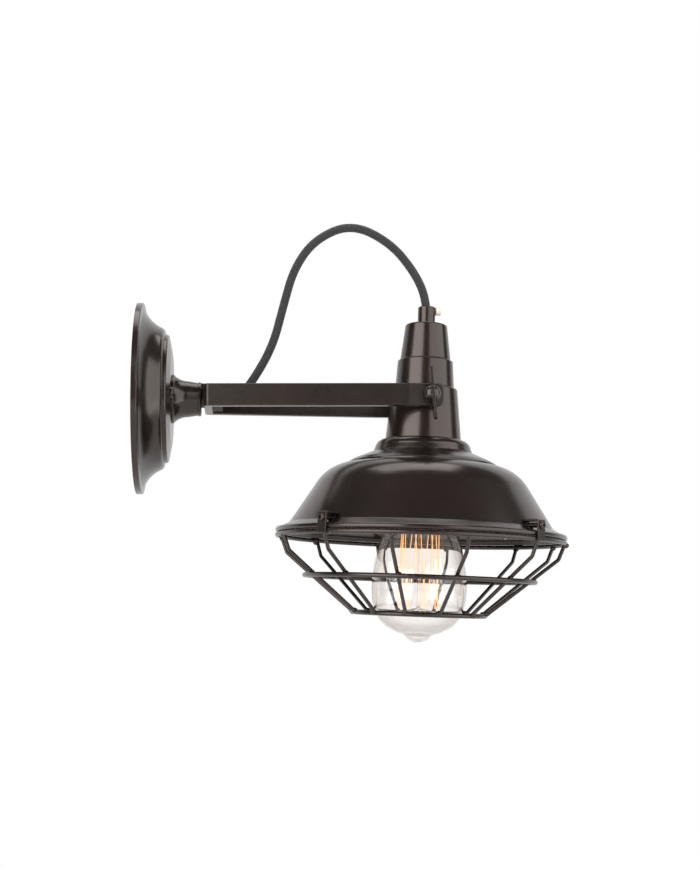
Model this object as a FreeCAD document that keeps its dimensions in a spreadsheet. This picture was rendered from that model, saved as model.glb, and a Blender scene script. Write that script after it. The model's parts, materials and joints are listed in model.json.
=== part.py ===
import FreeCAD, Part
import math
import os
import Sketcher
from FreeCAD import Placement, Rotation, Vector

# A wall light with a barn shade and a wire cage round its bulb.  The origin is
# the centre of the wall plate on the wall, +X points out of the wall, +Z is up.
# Everything above and below the tilt pivot hangs in the head's own frame: its
# origin is the pivot, its Z is the axis of neck, shade, cage and bulb, and it
# leans a little, as the lamp does when it is set by hand.  Lengths are in mm.

doc = FreeCAD.newDocument("cage_wall_light")
sheet = doc.addObject("Spreadsheet::Sheet", "Sizes")

# ---------------------------------------------------------------- sizes

SIZES = [
    # wall plate, a spun dish
    ("plate_r", 64.0, "wall plate, outer radius"),
    ("plate_depth", 22.8, "wall plate, wall to the front face"),
    ("plate_wall", 1.6, "wall plate, sheet"),
    ("rim_band", 3.8, "wall plate, straight band at the wall"),
    ("cove_r", 59.9, "wall plate, where the hollow sweep starts"),
    ("cove_x", 4.4, "wall plate, height of that start"),
    ("bead_r", 47.6, "wall plate, where the sweep ends"),
    ("bead_x", 16.2, "wall plate, height of that end"),
    ("ledge_r", 44.6, "wall plate, ledge round the boss"),
    ("ledge_x", 18.2, "wall plate, height of the ledge"),
    ("boss_r", 43.1, "wall plate, raised boss"),
    ("face_r", 31.5, "wall plate, flat part of the boss"),
    ("fixing_gap", 56.0, "between the two screws that hold the wall plate"),
    # wall bracket
    ("bracket_long", 104.0, "wall bracket, length"),
    ("bracket_wide", 26.0, "wall bracket, width"),
    ("bracket_thick", 2.5, "wall bracket, sheet"),
    ("wall_hole_gap", 84.0, "between the two wall holes"),
    ("wall_hole_r", 2.6, "wall holes"),
    ("supply_hole_r", 8.0, "hole for the supply cable"),
    # knuckle and its hollow threaded tube
    ("knuckle_wide_r", 16.4, "knuckle, foot on the wall plate"),
    ("knuckle_slim_r", 11.1, "knuckle, outer end"),
    ("knuckle_long", 19.6, "knuckle, length"),
    ("tube_r", 5.0, "hollow threaded tubes, outer radius"),
    ("tube_bore", 3.6, "hollow threaded tubes, bore"),
    ("tube_nut_flats", 14.0, "nuts on the threaded tubes, across flats"),
    ("lock_thick", 2.1, "lock plate between knuckle and arm"),
    ("lock_r", 5.8, "lock plate, round part"),
    ("lock_top", 10.2, "lock plate, height of its tab above the tube's axis"),
    ("lock_wide", 9.0, "lock plate, width of its tab"),
    ("coupling_long", 6.7, "coupling nut, length"),
    # arm: one flat bar bent to a fork
    ("bar_high", 15.0, "arm bar, height"),
    ("bar_thick", 5.5, "arm bar, thickness"),
    ("fork_half_wall", 22.2, "arm, outer half width at the wall end"),
    ("fork_half_lamp", 31.5, "arm, outer half width at the lamp end"),
    ("bar_round", 0.9, "arm bar, rounding of its edges"),
    ("bar_end_round", 4.0, "arm bar, rounding of its ends"),
    # tilt pivot
    ("pivot_x", 193.8, "pivot, distance from the wall"),
    ("pivot_bolt_r", 3.0, "pivot bolts, radius"),
    ("bar_past_pivot", 8.9, "arm, length past the pivot"),
    ("head_lean", 2.3, "head, lean in degrees at rest"),
    ("friction_washer_thick", 1.2, "washer between neck and arm"),
    ("outer_washer_thick", 1.0, "washer under the wing nut"),
    ("wing_hub_r", 5.5, "wing nut, hub"),
    ("wing_floor", 2.6, "wing nut, thickness of its closed end"),
    ("wing_hub_long", 8.2, "wing nut, hub height"),
    ("wing_span", 17.8, "wing nut, reach of one wing"),
    ("wing_thick", 1.7, "wing nut, wing thickness"),
    ("wing_turn", 7.0, "wing nuts, turn in degrees at rest"),
    # neck, a stepped casting
    ("neck_top", 53.0, "neck, top above the pivot"),
    ("neck_top_r", 14.3, "neck, top tier, upper radius"),
    ("upper_step", 28.3, "neck, foot of the top tier above the pivot"),
    ("upper_step_r", 17.3, "neck, foot of the top tier, radius"),
    ("upper_step_out", 1.6, "neck, how far the middle tier stands out there"),
    ("lower_step", 8.9, "neck, foot of the middle tier above the pivot"),
    ("lower_step_r", 20.1, "neck, foot of the middle tier, radius"),
    ("lower_step_out", 2.3, "neck, how far the lowest tier stands out there"),
    ("step_high", 0.8, "neck, height of a step"),
    ("neck_wall", 2.4, "neck, wall"),
    ("neck_foot", -27.2, "neck, foot below the pivot"),
    ("neck_foot_r", 25.8, "neck, foot radius"),
    ("pivot_boss_r", 7.2, "neck, boss round each pivot bolt"),
    # cap over the shade
    ("cap_wall", 1.6, "cap, sheet"),
    ("cap_inset", 1.1, "cap, its edge inside the start of the shade's shoulder"),
    # shade
    ("shade_top", -44.6, "shade, top below the pivot"),
    ("shade_wall", 1.0, "shade, sheet"),
    ("shoulder_in", 0.526, "shade, start of the shoulder, as a share of the rim"),
    ("shoulder_out", 0.7252, "shade, end of the shoulder, as a share of the rim"),
    ("shoulder_deep", 0.314, "shade, fall of the shoulder, as a share of the cone's"),
    ("cone_deep", 41.4, "shade, from its top to the foot of the cone"),
    ("flare_wide", 9.1, "shade, from the foot of the cone out to the rim's edge"),
    ("flare_deep", 5.2, "shade, from the foot of the cone down to the middle of the rim"),
    ("rim_r", 97.9, "shade, rolled rim, outer radius"),
    ("rim_roll", 1.9, "shade, radius of the roll"),
    # cage
    ("cage_wire", 1.55, "cage rings, wire radius"),
    ("rib_wire", 1.25, "cage ribs, wire radius"),
    ("cage_drop", 3.5, "cage, from the middle of the rim down to the top ring"),
    ("knee_in", 4.2, "cage ribs, knee inside the top ring"),
    ("knee_drop", 10.9, "cage ribs, knee below the top ring"),
    ("knee_round", 4.0, "cage ribs, bend at the knee"),
    ("mid_share", 0.3134, "cage middle ring, its share of the way from knee to bottom ring"),
    ("mid_below", 1.107, "cage middle ring below the ribs, in thicknesses of ring and rib"),
    ("cage_low_r", 44.5, "cage bottom ring"),
    ("cage_deep", 38.6, "cage, from the knee down to the bottom ring"),
    ("rib_count", 12.0, "cage ribs"),
    ("rib_start", 11.0, "first rib, degrees from +X"),
    # clips that hold the cage to the shade
    ("clip_wide", 7.0, "clip, width"),
    ("clip_thick", 1.2, "clip, sheet"),
    ("clip_up", 8.8, "clip, its top above the middle of the rolled rim"),
    ("clip_screw_r", 1.5, "clip screws, radius"),
    ("clip_screw_up", 4.9, "clip screws, above the middle of the rolled rim"),
    ("clip_nut_flats", 5.5, "clip nuts, across flats"),
    ("clip_nut_thick", 2.2, "clip nuts, thickness"),
    # lamp holder
    ("holder_r", 19.8, "lamp holder, radius"),
    ("holder_mouth", -54.0, "lamp holder, mouth"),
    ("holder_split", -12.0, "lamp holder, joint of body and dome"),
    ("socket_r", 13.7, "lamp holder, inside of the screw shell"),
    ("socket_wall", 1.5, "lamp holder, from the screw shell to the body's bore"),
    ("socket_deep", 6.0, "lamp holder, screw shell behind the mouth"),
    ("core_thick", 8.0, "lamp holder, porcelain core"),
    ("tongue_thick", 0.7, "lamp holder, centre contact"),
    ("shade_ring_r", 27.0, "shade rings, outer radius"),
    ("shade_ring_thick", 4.0, "shade rings, thickness"),
    # bulb
    ("bulb_r", 32.0, "bulb, largest radius"),
    ("bulb_pear", 78.5, "bulb, from the cap down to that radius"),
    ("bulb_bowl", 33.6, "bulb, from there down to the lowest glass"),
    ("bulb_cap_long", 26.6, "bulb, screw cap with its contact"),
    ("glass_wall", 0.9, "bulb, glass"),
    ("filament_down", 32.5, "filament, upper hooks below the cap"),
    ("filament_long", 63.0, "filament, from the upper to the lower hooks"),
    ("filament_r", 0.3, "filament strand, radius"),
    # cord and its grip
    ("cord_r", 3.0, "cord, radius"),
    ("grip_r", 6.0, "cord grip, radius"),
    ("grip_high", 12.7, "cord grip, height"),
    ("grip_screw_up", 10.3, "cord grip, screw above its foot"),
    ("wire_r", 0.65, "inner wires, radius"),
    # clearances
    ("thread_gap", 0.05, "radial gap of screw threads"),
    ("pass_gap", 0.2, "radial gap of things passed through"),
    ("socket_gap", 0.5, "radial gap between the bulb's cap and the screw shell"),
    ("contact_gap", 0.2, "between the bulb's contact and the centre contact"),
    ("rim_gap", 0.1, "between the rolled rim and the clips"),
    ("weld_gap", 0.05, "between the cage's top ring and the clips"),
    ("skin_gap", 0.15, "between the shade's cone and the clips and nuts on it"),
]


class Size:
    """A number together with the sheet expression that gives it."""

    def __init__(self, value, text):
        self.value = value
        self.text = text

    def _with(self, sign, other, value):
        return Size(value, "({} {} {})".format(self.text, sign, size(other).text))

    def __add__(self, other):
        return self._with("+", other, self.value + size(other).value)

    def __sub__(self, other):
        return self._with("-", other, self.value - size(other).value)

    def __mul__(self, other):
        return self._with("*", other, self.value * size(other).value)

    def __truediv__(self, other):
        return self._with("/", other, self.value / size(other).value)

    def __radd__(self, other):
        return size(other) + self

    def __rsub__(self, other):
        return size(other) - self

    def __rmul__(self, other):
        return size(other) * self

    def __neg__(self):
        return size(0) - self


def size(number):
    """Plain numbers as sizes; sizes as they are."""
    if isinstance(number, Size):
        return number
    return Size(float(number), repr(float(number)))


def fill_sheet():
    """One row for each driving size: what it is, its value, its name."""
    names = {}
    for row, (name, value, what) in enumerate(SIZES, start=1):
        sheet.set("A{}".format(row), what)
        sheet.set("B{}".format(row), str(value))
        sheet.setAlias("B{}".format(row), name)
        names[name] = Size(value, "Sizes.{}".format(name))
    doc.recompute()
    return names


S = fill_sheet()


def bind(thing, prop, value):
    """Ties a property to the sheet."""
    value = size(value)
    thing.setExpression(prop, value.text)


# places that follow from the sizes: the neck at its pivot; shade, cage and clips
# on the rolled rim; the bulb under the lamp holder's contact

LOW_TIER_R = S["lower_step_r"] + S["lower_step_out"]
LOW_TIER = S["lower_step"] - S["step_high"]
PIVOT_NECK_R = LOW_TIER_R + (S["neck_foot_r"] - LOW_TIER_R) * (LOW_TIER / (LOW_TIER - S["neck_foot"]))
SHOULDER_IN = S["rim_r"] * S["shoulder_in"]
SHOULDER_OUT = S["rim_r"] * S["shoulder_out"]
SKIRT_R = S["rim_r"] - S["flare_wide"]
SKIRT = S["shade_top"] - S["cone_deep"]
ROLL_R = S["rim_r"] - S["rim_roll"]
RIM_MID = SKIRT - S["flare_deep"]
CLIP_INNER = S["rim_r"] + S["rim_gap"]
CAGE_TOP_R = CLIP_INNER - S["weld_gap"] - S["cage_wire"]
CAGE_TOP = RIM_MID - S["cage_drop"]
KNEE_R = CAGE_TOP_R - S["knee_in"]
KNEE = CAGE_TOP - S["knee_drop"]
CAGE_LOW = KNEE - S["cage_deep"]
CAGE_MID_R = KNEE_R - (KNEE_R - S["cage_low_r"]) * S["mid_share"]
CAGE_MID = KNEE - S["cage_deep"] * S["mid_share"] - (S["cage_wire"] + S["rib_wire"]) * S["mid_below"]
CONE_OUT = (SKIRT_R - SHOULDER_OUT) / (S["cone_deep"] * (1 - S["shoulder_deep"]))
CLIP_TOP = RIM_MID + S["clip_up"]
CLIP_SCREW = RIM_MID + S["clip_screw_up"]
HOLDER_BORE = S["socket_r"] + S["socket_wall"]
CORE_FLOOR = S["holder_split"] - S["core_thick"]
BULB_CAP_R = S["socket_r"] - S["socket_gap"]
BULB_MOUTH = CORE_FLOOR - S["tongue_thick"] - S["contact_gap"] - S["bulb_cap_long"]
BULB_WIDE = BULB_MOUTH - S["bulb_pear"]
BULB_FOOT = BULB_WIDE - S["bulb_bowl"]
FILAMENT_TOP = BULB_MOUTH - S["filament_down"]
FILAMENT_FOOT = FILAMENT_TOP - S["filament_long"]


# ---------------------------------------------------------------- frames

def head_frame():
    """The head's frame at rest: at the pivot, leaning about Y."""
    return Placement(Vector(S["pivot_x"].value, 0, 0),
                     Rotation(Vector(0, 1, 0), S["head_lean"].value))


def turned_about_z(degrees):
    return Placement(Vector(0, 0, 0), Rotation(Vector(0, 0, 1), degrees))


def finish(thing, label, frame=None):
    """Names a sub-part and puts it in its frame."""
    thing.Label = label
    if frame is not None:
        thing.Placement = frame
    parts.append(thing)
    return thing


parts = []

AXIS_TURN = {
    "X": Rotation(Vector(0, 1, 0), 90),
    "Y": Rotation(Vector(1, 0, 0), -90),
    "Z": Rotation(),
}

# ---------------------------------------------------------------- sketches


class Via:
    """A point that the arc between two neighbouring corners passes through."""

    def __init__(self, across, along):
        self.point = (size(across), size(along))


class Corner:
    """A corner of an outline, rounded if it has a radius."""

    def __init__(self, across, along, rounding=None):
        self.point = (size(across), size(along))
        self.rounding = None if rounding is None else size(rounding)

    def vector(self):
        return Vector(self.point[0].value, self.point[1].value, 0)


def origin_plane(body, role):
    return [f for f in body.Origin.OriginFeatures if f.Role == role][0]


def new_sketch(body, name, role):
    sketch = body.newObject("Sketcher::SketchObject", name)
    sketch.AttachmentSupport = [(origin_plane(body, role), "")]
    sketch.MapMode = "FlatFace"
    return sketch


def hold(sketch, kind, args, value):
    """A dimension in a sketch, bound to the sheet."""
    index = sketch.addConstraint(Sketcher.Constraint(kind, *args, value.value))
    name = "d{}".format(index)
    sketch.renameConstraint(index, name)
    sketch.setExpression("Constraints." + name, value.text)


def pin_point(sketch, geo, pos, point):
    """Holds a point of the sketch at its two coordinates."""
    for kind, axis, value in (("DistanceX", -2, point[0]), ("DistanceY", -1, point[1])):
        if value.text == "0.0":
            sketch.addConstraint(Sketcher.Constraint("PointOnObject", geo, pos, axis))
        else:
            hold(sketch, kind, (-1, 1, geo, pos), value)


def arc_through(start, via, end):
    """An arc of a circle and whether it runs from start to end anticlockwise."""
    turn = (via - start).cross(end - via).z
    circle = Part.Arc(start, via, end).toShape().Curve
    centre = circle.Center
    radius = circle.Radius
    first, last = (start, end) if turn > 0 else (end, start)
    angles = [math.atan2(p.y - centre.y, p.x - centre.x) for p in (first, last)]
    if angles[1] < angles[0]:
        angles[1] += 2 * math.pi
    arc = Part.ArcOfCircle(Part.Circle(centre, Vector(0, 0, 1), radius), *angles)
    return arc, turn > 0


def tangent_points(before, corner, after, radius):
    """Where a rounding of this radius leaves the two sides of a corner."""
    into = (before - corner).normalize()
    out = (after - corner).normalize()
    half = into.getAngle(out) / 2
    reach = radius / math.tan(half)
    return corner + into * reach, corner + out * reach


def rounding_arc(start, end, corner):
    """The arc that rounds a corner between its two tangent points."""
    bisector = ((start + end) * 0.5 - corner)
    reach = (start - corner).Length
    half = math.asin(min(1.0, (end - start).Length / 2 / reach))
    radius = reach * math.tan(half)
    centre = corner + bisector.normalize() * (radius / math.sin(half))
    middle = centre + (corner - centre).normalize() * radius
    return arc_through(start, middle, end)


def outline(sketch, items):
    """A closed outline through corners, with arcs where a Via stands between."""
    corners = [item for item in items if isinstance(item, Corner)]
    vias = {}
    for index, item in enumerate(items):
        if isinstance(item, Via):
            vias[sum(isinstance(i, Corner) for i in items[:index]) - 1] = item
    count = len(corners)
    leave = [c.vector() for c in corners]
    reach = [c.vector() for c in corners]
    for index, corner in enumerate(corners):
        if corner.rounding is not None:
            before = corners[index - 1].vector()
            after = corners[(index + 1) % count].vector()
            reach[index], leave[index] = tangent_points(
                before, corner.vector(), after, corner.rounding.value)
    ends = []
    for index in range(count):
        start, end = leave[index], reach[(index + 1) % count]
        if index in vias:
            via = vias[index]
            arc, forward = arc_through(start, Vector(via.point[0].value, via.point[1].value, 0), end)
            geo = sketch.addGeometry(arc, False)
            ends.append((geo, 1, 2) if forward else (geo, 2, 1))
            mark = sketch.addGeometry(Part.Point(Vector(via.point[0].value, via.point[1].value, 0)), True)
            pin_point(sketch, mark, 1, via.point)
            sketch.addConstraint(Sketcher.Constraint("PointOnObject", mark, 1, geo))
        else:
            geo = sketch.addGeometry(Part.LineSegment(start, end), False)
            ends.append((geo, 1, 2))
    for index, corner in enumerate(corners):
        geo_in, _, pos_in = ends[index - 1]
        geo_out, pos_out, _ = ends[index]
        if corner.rounding is None:
            sketch.addConstraint(Sketcher.Constraint("Coincident", geo_in, pos_in, geo_out, pos_out))
            pin_point(sketch, geo_out, pos_out, corner.point)
            continue
        arc, forward = rounding_arc(reach[index], leave[index], corner.vector())
        geo = sketch.addGeometry(arc, False)
        first, last = (1, 2) if forward else (2, 1)
        mark = sketch.addGeometry(Part.Point(corner.vector()), True)
        pin_point(sketch, mark, 1, corner.point)
        sketch.addConstraint(Sketcher.Constraint("PointOnObject", mark, 1, geo_in))
        sketch.addConstraint(Sketcher.Constraint("PointOnObject", mark, 1, geo_out))
        sketch.addConstraint(Sketcher.Constraint("Tangent", geo_in, pos_in, geo, first))
        sketch.addConstraint(Sketcher.Constraint("Tangent", geo_out, pos_out, geo, last))
        hold(sketch, "Radius", (geo,), corner.rounding)
    return sketch


def circles(sketch, places, radius):
    """Circles of one radius at the given places."""
    for across, along in places:
        across, along = size(across), size(along)
        centre = Vector(across.value, along.value, 0)
        geo = sketch.addGeometry(Part.Circle(centre, Vector(0, 0, 1), size(radius).value), False)
        pin_point(sketch, geo, 3, (across, along))
        hold(sketch, "Radius", (geo,), size(radius))
    return sketch


# ---------------------------------------------------------------- features

def new_body(name):
    body = doc.addObject("PartDesign::Body", name)
    body.AllowCompound = True
    return body


def turned(name, axis, items):
    """A turned piece: corners are (along, radius) for X and Y, (radius, along) for Z."""
    body = new_body(name)
    role = "YZ_Plane" if axis == "Y" else "XZ_Plane"
    sketch = outline(new_sketch(body, name + "_profile", role), items)
    turn = body.newObject("PartDesign::Revolution", name + "_turn")
    turn.Profile = sketch
    turn.ReferenceAxis = (sketch, ["V_Axis" if axis == "Z" else "H_Axis"])
    turn.Angle = 360
    body.Tip = turn
    return body


def padded(body, name, sketch, length, symmetric=False, reverse=False):
    pad = body.newObject("PartDesign::Pad", name)
    pad.Profile = sketch
    pad.SideType = "Symmetric" if symmetric else "One side"
    pad.Reversed = reverse
    bind(pad, "Length", length)
    body.Tip = pad
    return pad


def drilled(body, name, sketch):
    """Cuts a sketch through everything, both ways."""
    doc.recompute()
    before = body.Shape.Volume
    pocket = body.newObject("PartDesign::Pocket", name)
    pocket.Profile = sketch
    pocket.SideType = "Symmetric"
    pocket.Type = "ThroughAll"
    body.Tip = pocket
    doc.recompute()
    if body.Shape.Volume > before - 0.01:
        raise RuntimeError(name + " cuts nothing")
    return pocket


def softened(body, name, kind, radius, wanted):
    """Rounds or bevels the edges of the tip for which wanted(edge) is true."""
    doc.recompute()
    solid = body.Tip
    names = ["Edge{}".format(i) for i, edge in enumerate(solid.Shape.Edges, start=1) if wanted(edge)]
    feature = body.newObject("PartDesign::" + kind, name)
    feature.Base = (solid, names)
    bind(feature, "Radius" if kind == "Fillet" else "Size", radius)
    body.Tip = feature
    return feature


def place_at(thing, at, axis="Z"):
    """Stands a primitive at a place bound to the sheet, along an axis."""
    thing.Placement = Placement(Vector(0, 0, 0), AXIS_TURN[axis])
    for letter, value in zip("xyz", at):
        bind(thing, "Placement.Base." + letter, value)
    return thing


def cylinder(name, radius, length, at, axis="Z"):
    solid = doc.addObject("Part::Cylinder", name)
    bind(solid, "Radius", radius)
    bind(solid, "Height", length)
    return place_at(solid, at, axis)


def box(name, long, wide, high, at):
    """A box centred on at in X and Y, standing on at in Z."""
    solid = doc.addObject("Part::Box", name)
    bind(solid, "Length", long)
    bind(solid, "Width", wide)
    bind(solid, "Height", high)
    corner = (size(at[0]) - size(long) / 2, size(at[1]) - size(wide) / 2, size(at[2]))
    return place_at(solid, corner)


def hexagon(name, flats, length, at, axis="Z"):
    """A six-sided prism with a flat facing sideways."""
    solid = doc.addObject("Part::Prism", name)
    solid.Polygon = 6
    bind(solid, "Circumradius", size(flats) / math.sqrt(3))
    bind(solid, "Height", length)
    return place_at(solid, at, axis)


def ring(name, radius, wire, height):
    """A closed ring of round wire about the head's axis."""
    solid = doc.addObject("Part::Torus", name)
    bind(solid, "Radius1", radius)
    bind(solid, "Radius2", wire)
    return place_at(solid, (0, 0, height))


def cut(name, base, tool):
    result = doc.addObject("Part::Cut", name)
    result.Base = base
    result.Tool = tool
    return result


def fused(name, solids):
    result = doc.addObject("Part::MultiFuse", name)
    result.Shapes = solids
    return result


def group(name, solids):
    """Separate solids kept together in one sub-part."""
    result = doc.addObject("Part::Compound", name)
    result.Links = solids
    return result


def bored(name, solid, bore, length, at, axis="Z"):
    return cut(name, solid, cylinder(name + "_bore", bore, length, at, axis))


def hex_nut(name, flats, bore, thick, at, axis="Z"):
    """A nut standing at a place, with its bore along the axis."""
    return bored(name, hexagon(name + "_hexagon", flats, thick, at, axis), bore, thick, at, axis)


def washer(name, outer, bore, thick, at, axis="Z"):
    return bored(name, cylinder(name + "_disc", outer, thick, at, axis), bore, thick, at, axis)


# ---------------------------------------------------------------- wall side

def plate_profile(shift):
    """The dish from its rim to its flat face, moved in by the sheet's thickness."""
    sweep_x = S["cove_x"] + (S["bead_x"] - S["cove_x"]) * 0.364
    sweep_r = S["cove_r"] - (S["cove_r"] - S["bead_r"]) * 0.569
    roll_x = S["bead_x"] + (S["ledge_x"] - S["bead_x"]) * 0.7
    roll_r = S["bead_r"] - (S["bead_r"] - S["ledge_r"]) * 0.433

    def at(x, r, rounding=None):
        return Corner(x - shift, r - shift, rounding)

    return [
        at(S["rim_band"], S["plate_r"], 0.8),
        at(S["cove_x"], S["cove_r"]),
        Via(sweep_x - shift, sweep_r - shift),
        at(S["bead_x"], S["bead_r"]),
        Via(roll_x - shift, roll_r - shift),
        at(S["ledge_x"], S["ledge_r"]),
        at(S["ledge_x"], S["boss_r"] + 0.2),
        at(S["plate_depth"] - 2.2, S["boss_r"] - 0.1, 1.3),
        at(S["plate_depth"], S["face_r"], 8),
    ]


def make_wall_plate():
    wall = S["plate_wall"]
    hole = S["tube_r"] + S["pass_gap"]
    outside = plate_profile(size(0))
    inside = list(reversed(plate_profile(wall)))
    items = [Corner(0, S["plate_r"])] + outside
    items += [Corner(S["plate_depth"], hole), Corner(S["plate_depth"] - wall, hole)]
    items += inside + [Corner(0, S["plate_r"] - wall)]
    body = turned("wall_plate", "X", items)
    holes = new_sketch(body, "plate_screw_holes", "YZ_Plane")
    half = S["fixing_gap"] / 2
    circles(holes, [(half, 0), (-half, 0)], 2.2)
    drilled(body, "plate_drilling", holes)
    finish(body, "wall_plate")


def make_wall_bracket():
    body = new_body("wall_bracket")
    half_long = S["bracket_long"] / 2
    half_wide = S["bracket_wide"] / 2
    strip = new_sketch(body, "bracket_outline", "YZ_Plane")
    outline(strip, [
        Corner(half_long, -half_wide, 4),
        Corner(half_long, half_wide, 4),
        Corner(-half_long, half_wide, 4),
        Corner(-half_long, -half_wide, 4),
    ])
    padded(body, "bracket_strip", strip, S["bracket_thick"])
    wall_half = S["wall_hole_gap"] / 2
    holes = new_sketch(body, "bracket_wall_holes", "YZ_Plane")
    circles(holes, [(wall_half, 0), (-wall_half, 0)], S["wall_hole_r"])
    circles(holes, [(0, 0)], S["supply_hole_r"])
    half = S["fixing_gap"] / 2
    circles(holes, [(half, 0), (-half, 0)], size(2) + S["thread_gap"])
    drilled(body, "bracket_drilling", holes)
    finish(body, "wall_bracket")


def make_plate_screws():
    """Two long pan-head screws through the plate into the bracket."""
    face = S["plate_depth"]
    screws = []
    for side in (1, -1):
        name = "plate_screw_{}".format("rear" if side > 0 else "front")
        body = turned(name, "X", [
            Corner(0.4, 0),
            Corner(0.4, 2),
            Corner(face, 2),
            Corner(face, 3.6),
            Corner(face + 2.2, 3.6, 1.4),
            Corner(face + 2.2, 1.2),
            Corner(face + 1.1, 1.0),
            Corner(face + 1.1, 0),
        ])
        bind(body, "Placement.Base.y", S["fixing_gap"] / 2 * side)
        screws.append(body)
    finish(group("plate_screws", screws), "plate_screws")


def make_knuckle():
    foot = S["plate_depth"]
    end = foot + S["knuckle_long"]
    wide, slim = S["knuckle_wide_r"], S["knuckle_slim_r"]
    bore = S["tube_r"] + S["pass_gap"]
    finish(turned("knuckle", "X", [
        Corner(foot, bore + 5),
        Corner(foot, wide),
        Corner(foot + 1.5, wide, 0.6),
        Corner(foot + 1.9, wide - 0.8),
        Via(foot + 5.1, wide - 3.0),
        Corner(foot + 10.2, wide - 4.2),
        Corner(end - 2.2, slim),
        Corner(end - 2.0, slim + 0.4),
        Corner(end, slim + 0.4, 0.9),
        Corner(end, bore),
        Corner(foot + 11, bore),
        Corner(foot + 11, bore + 1.5),
    ]), "knuckle")


def make_knuckle_tube():
    """The hollow tube that the cord runs through, with what is screwed on it."""
    tube_start = S["plate_depth"] - 9.8
    web = S["plate_depth"] + S["knuckle_long"] + S["lock_thick"]
    tube_end = web + S["bar_thick"] + S["coupling_long"]
    tube = cylinder("tube_rod", S["tube_r"], tube_end - tube_start, (tube_start, 0, 0), "X")
    finish(bored("knuckle_tube", tube, S["tube_bore"], tube_end - tube_start, (tube_start, 0, 0), "X"),
           "knuckle_tube")
    inner_face = S["plate_depth"] - S["plate_wall"]
    fit = S["tube_r"] + S["thread_gap"]
    finish(washer("tube_washer", 10.5, fit, 1.2, (inner_face - 1.2, 0, 0), "X"), "tube_washer")
    finish(hex_nut("tube_nut", S["tube_nut_flats"], fit, 4, (inner_face - 5.2, 0, 0), "X"), "tube_nut")
    finish(hex_nut("coupling_nut", S["tube_nut_flats"], fit, S["coupling_long"],
                   (web + S["bar_thick"], 0, 0), "X"), "coupling_nut")


def make_lock_plate():
    """A plate between knuckle and arm; its upright tab keeps the arm from turning."""
    start = S["plate_depth"] + S["knuckle_long"]
    thick = S["lock_thick"]
    disc = cylinder("lock_disc", S["lock_r"], thick, (start, 0, 0), "X")
    tab = box("lock_tab", thick, S["lock_wide"], S["lock_top"], (start + thick / 2, 0, 0))
    solid = fused("lock_blank", [disc, tab])
    finish(bored("lock_plate", solid, S["tube_r"] + S["thread_gap"], thick, (start, 0, 0), "X"), "lock_plate")


def make_arm_fork():
    """One flat bar bent to a fork that widens towards the lamp."""
    web = S["plate_depth"] + S["knuckle_long"] + S["lock_thick"]
    thick = S["bar_thick"]
    end = S["pivot_x"] + S["bar_past_pivot"]
    knee = S["pivot_x"] - 15
    wall_half, lamp_half = S["fork_half_wall"], S["fork_half_lamp"]
    body = new_body("arm_fork")
    path = new_sketch(body, "fork_outline", "XY_Plane")
    outline(path, [
        Corner(end, -lamp_half),
        Corner(end, thick - lamp_half),
        Corner(knee, thick - lamp_half, 20),
        Corner(web + thick, thick - wall_half, 1),
        Corner(web + thick, wall_half - thick, 1),
        Corner(knee, lamp_half - thick, 20),
        Corner(end, lamp_half - thick),
        Corner(end, lamp_half),
        Corner(knee, lamp_half, 20),
        Corner(web, wall_half, 3),
        Corner(web, -wall_half, 3),
        Corner(knee, -lamp_half, 20),
    ])
    padded(body, "fork_bar", path, S["bar_high"], symmetric=True)
    end_x = end.value

    def end_edge(edge):
        box_ = edge.BoundBox
        return box_.XMin > end_x - 0.01 and box_.ZLength < 0.01

    softened(body, "fork_ends", "Fillet", S["bar_end_round"], end_edge)
    half_high = S["bar_high"].value / 2

    def long_edge(edge):
        box_ = edge.BoundBox
        return box_.ZLength < 0.01 and abs(abs(box_.ZMin) - half_high) < 0.01 and box_.XMin < end_x - 5

    softened(body, "fork_edges", "Fillet", S["bar_round"], long_edge)
    tube_hole = new_sketch(body, "fork_tube_hole", "YZ_Plane")
    circles(tube_hole, [(0, 0)], S["tube_r"] + S["thread_gap"])
    drilled(body, "fork_tube_drilling", tube_hole)
    bolt_hole = new_sketch(body, "fork_bolt_hole", "XZ_Plane")
    circles(bolt_hole, [(S["pivot_x"], 0)], S["pivot_bolt_r"] + 0.05)
    drilled(body, "fork_bolt_drilling", bolt_hole)
    finish(body, "arm_fork")


def make_terminal_block():
    """The supply joint inside the wall plate."""
    foot = S["bracket_thick"]
    bare = box("block_body", 9.5, 20, 11, (foot + 4.75, 0, 15))
    throats = [
        cylinder("block_throat_{}".format(i), 1.4, 20, (foot + 4.5, y, 14), "Z")
        for i, y in enumerate((-6, 0, 6), start=1)
    ]
    finish(cut("terminal_block", bare, fused("block_throats", throats)), "terminal_block")
    screws = [
        cylinder("block_screw_{}".format(i), 1.6, 1.4, (foot + 9.5, y, 20.5), "X")
        for i, y in enumerate((-6, 0, 6), start=1)
    ]
    earth = cylinder("earth_screw", 2.6, 2.4, (foot, 13, -7), "X")
    finish(group("terminal_screws", screws + [earth]), "terminal_screws")


def bent_pipe(points, radius, bend):
    """A round wire along straight runs joined by tangent arcs."""
    edges = []
    last = points[0]
    for before, corner, after in zip(points, points[1:], points[2:]):
        into = (before - corner).normalize()
        out = (after - corner).normalize()
        reach = bend / math.tan(into.getAngle(out) / 2)
        start, end = corner + into * reach, corner + out * reach
        middle = arc_middle(start, end, corner)
        edges.append(Part.LineSegment(last, start).toShape())
        edges.append(Part.Arc(start, middle, end).toShape())
        last = end
    edges.append(Part.LineSegment(last, points[-1]).toShape())
    path = Part.Wire(edges)
    return pipe_along(path, points[0], points[1] - points[0], radius)


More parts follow.
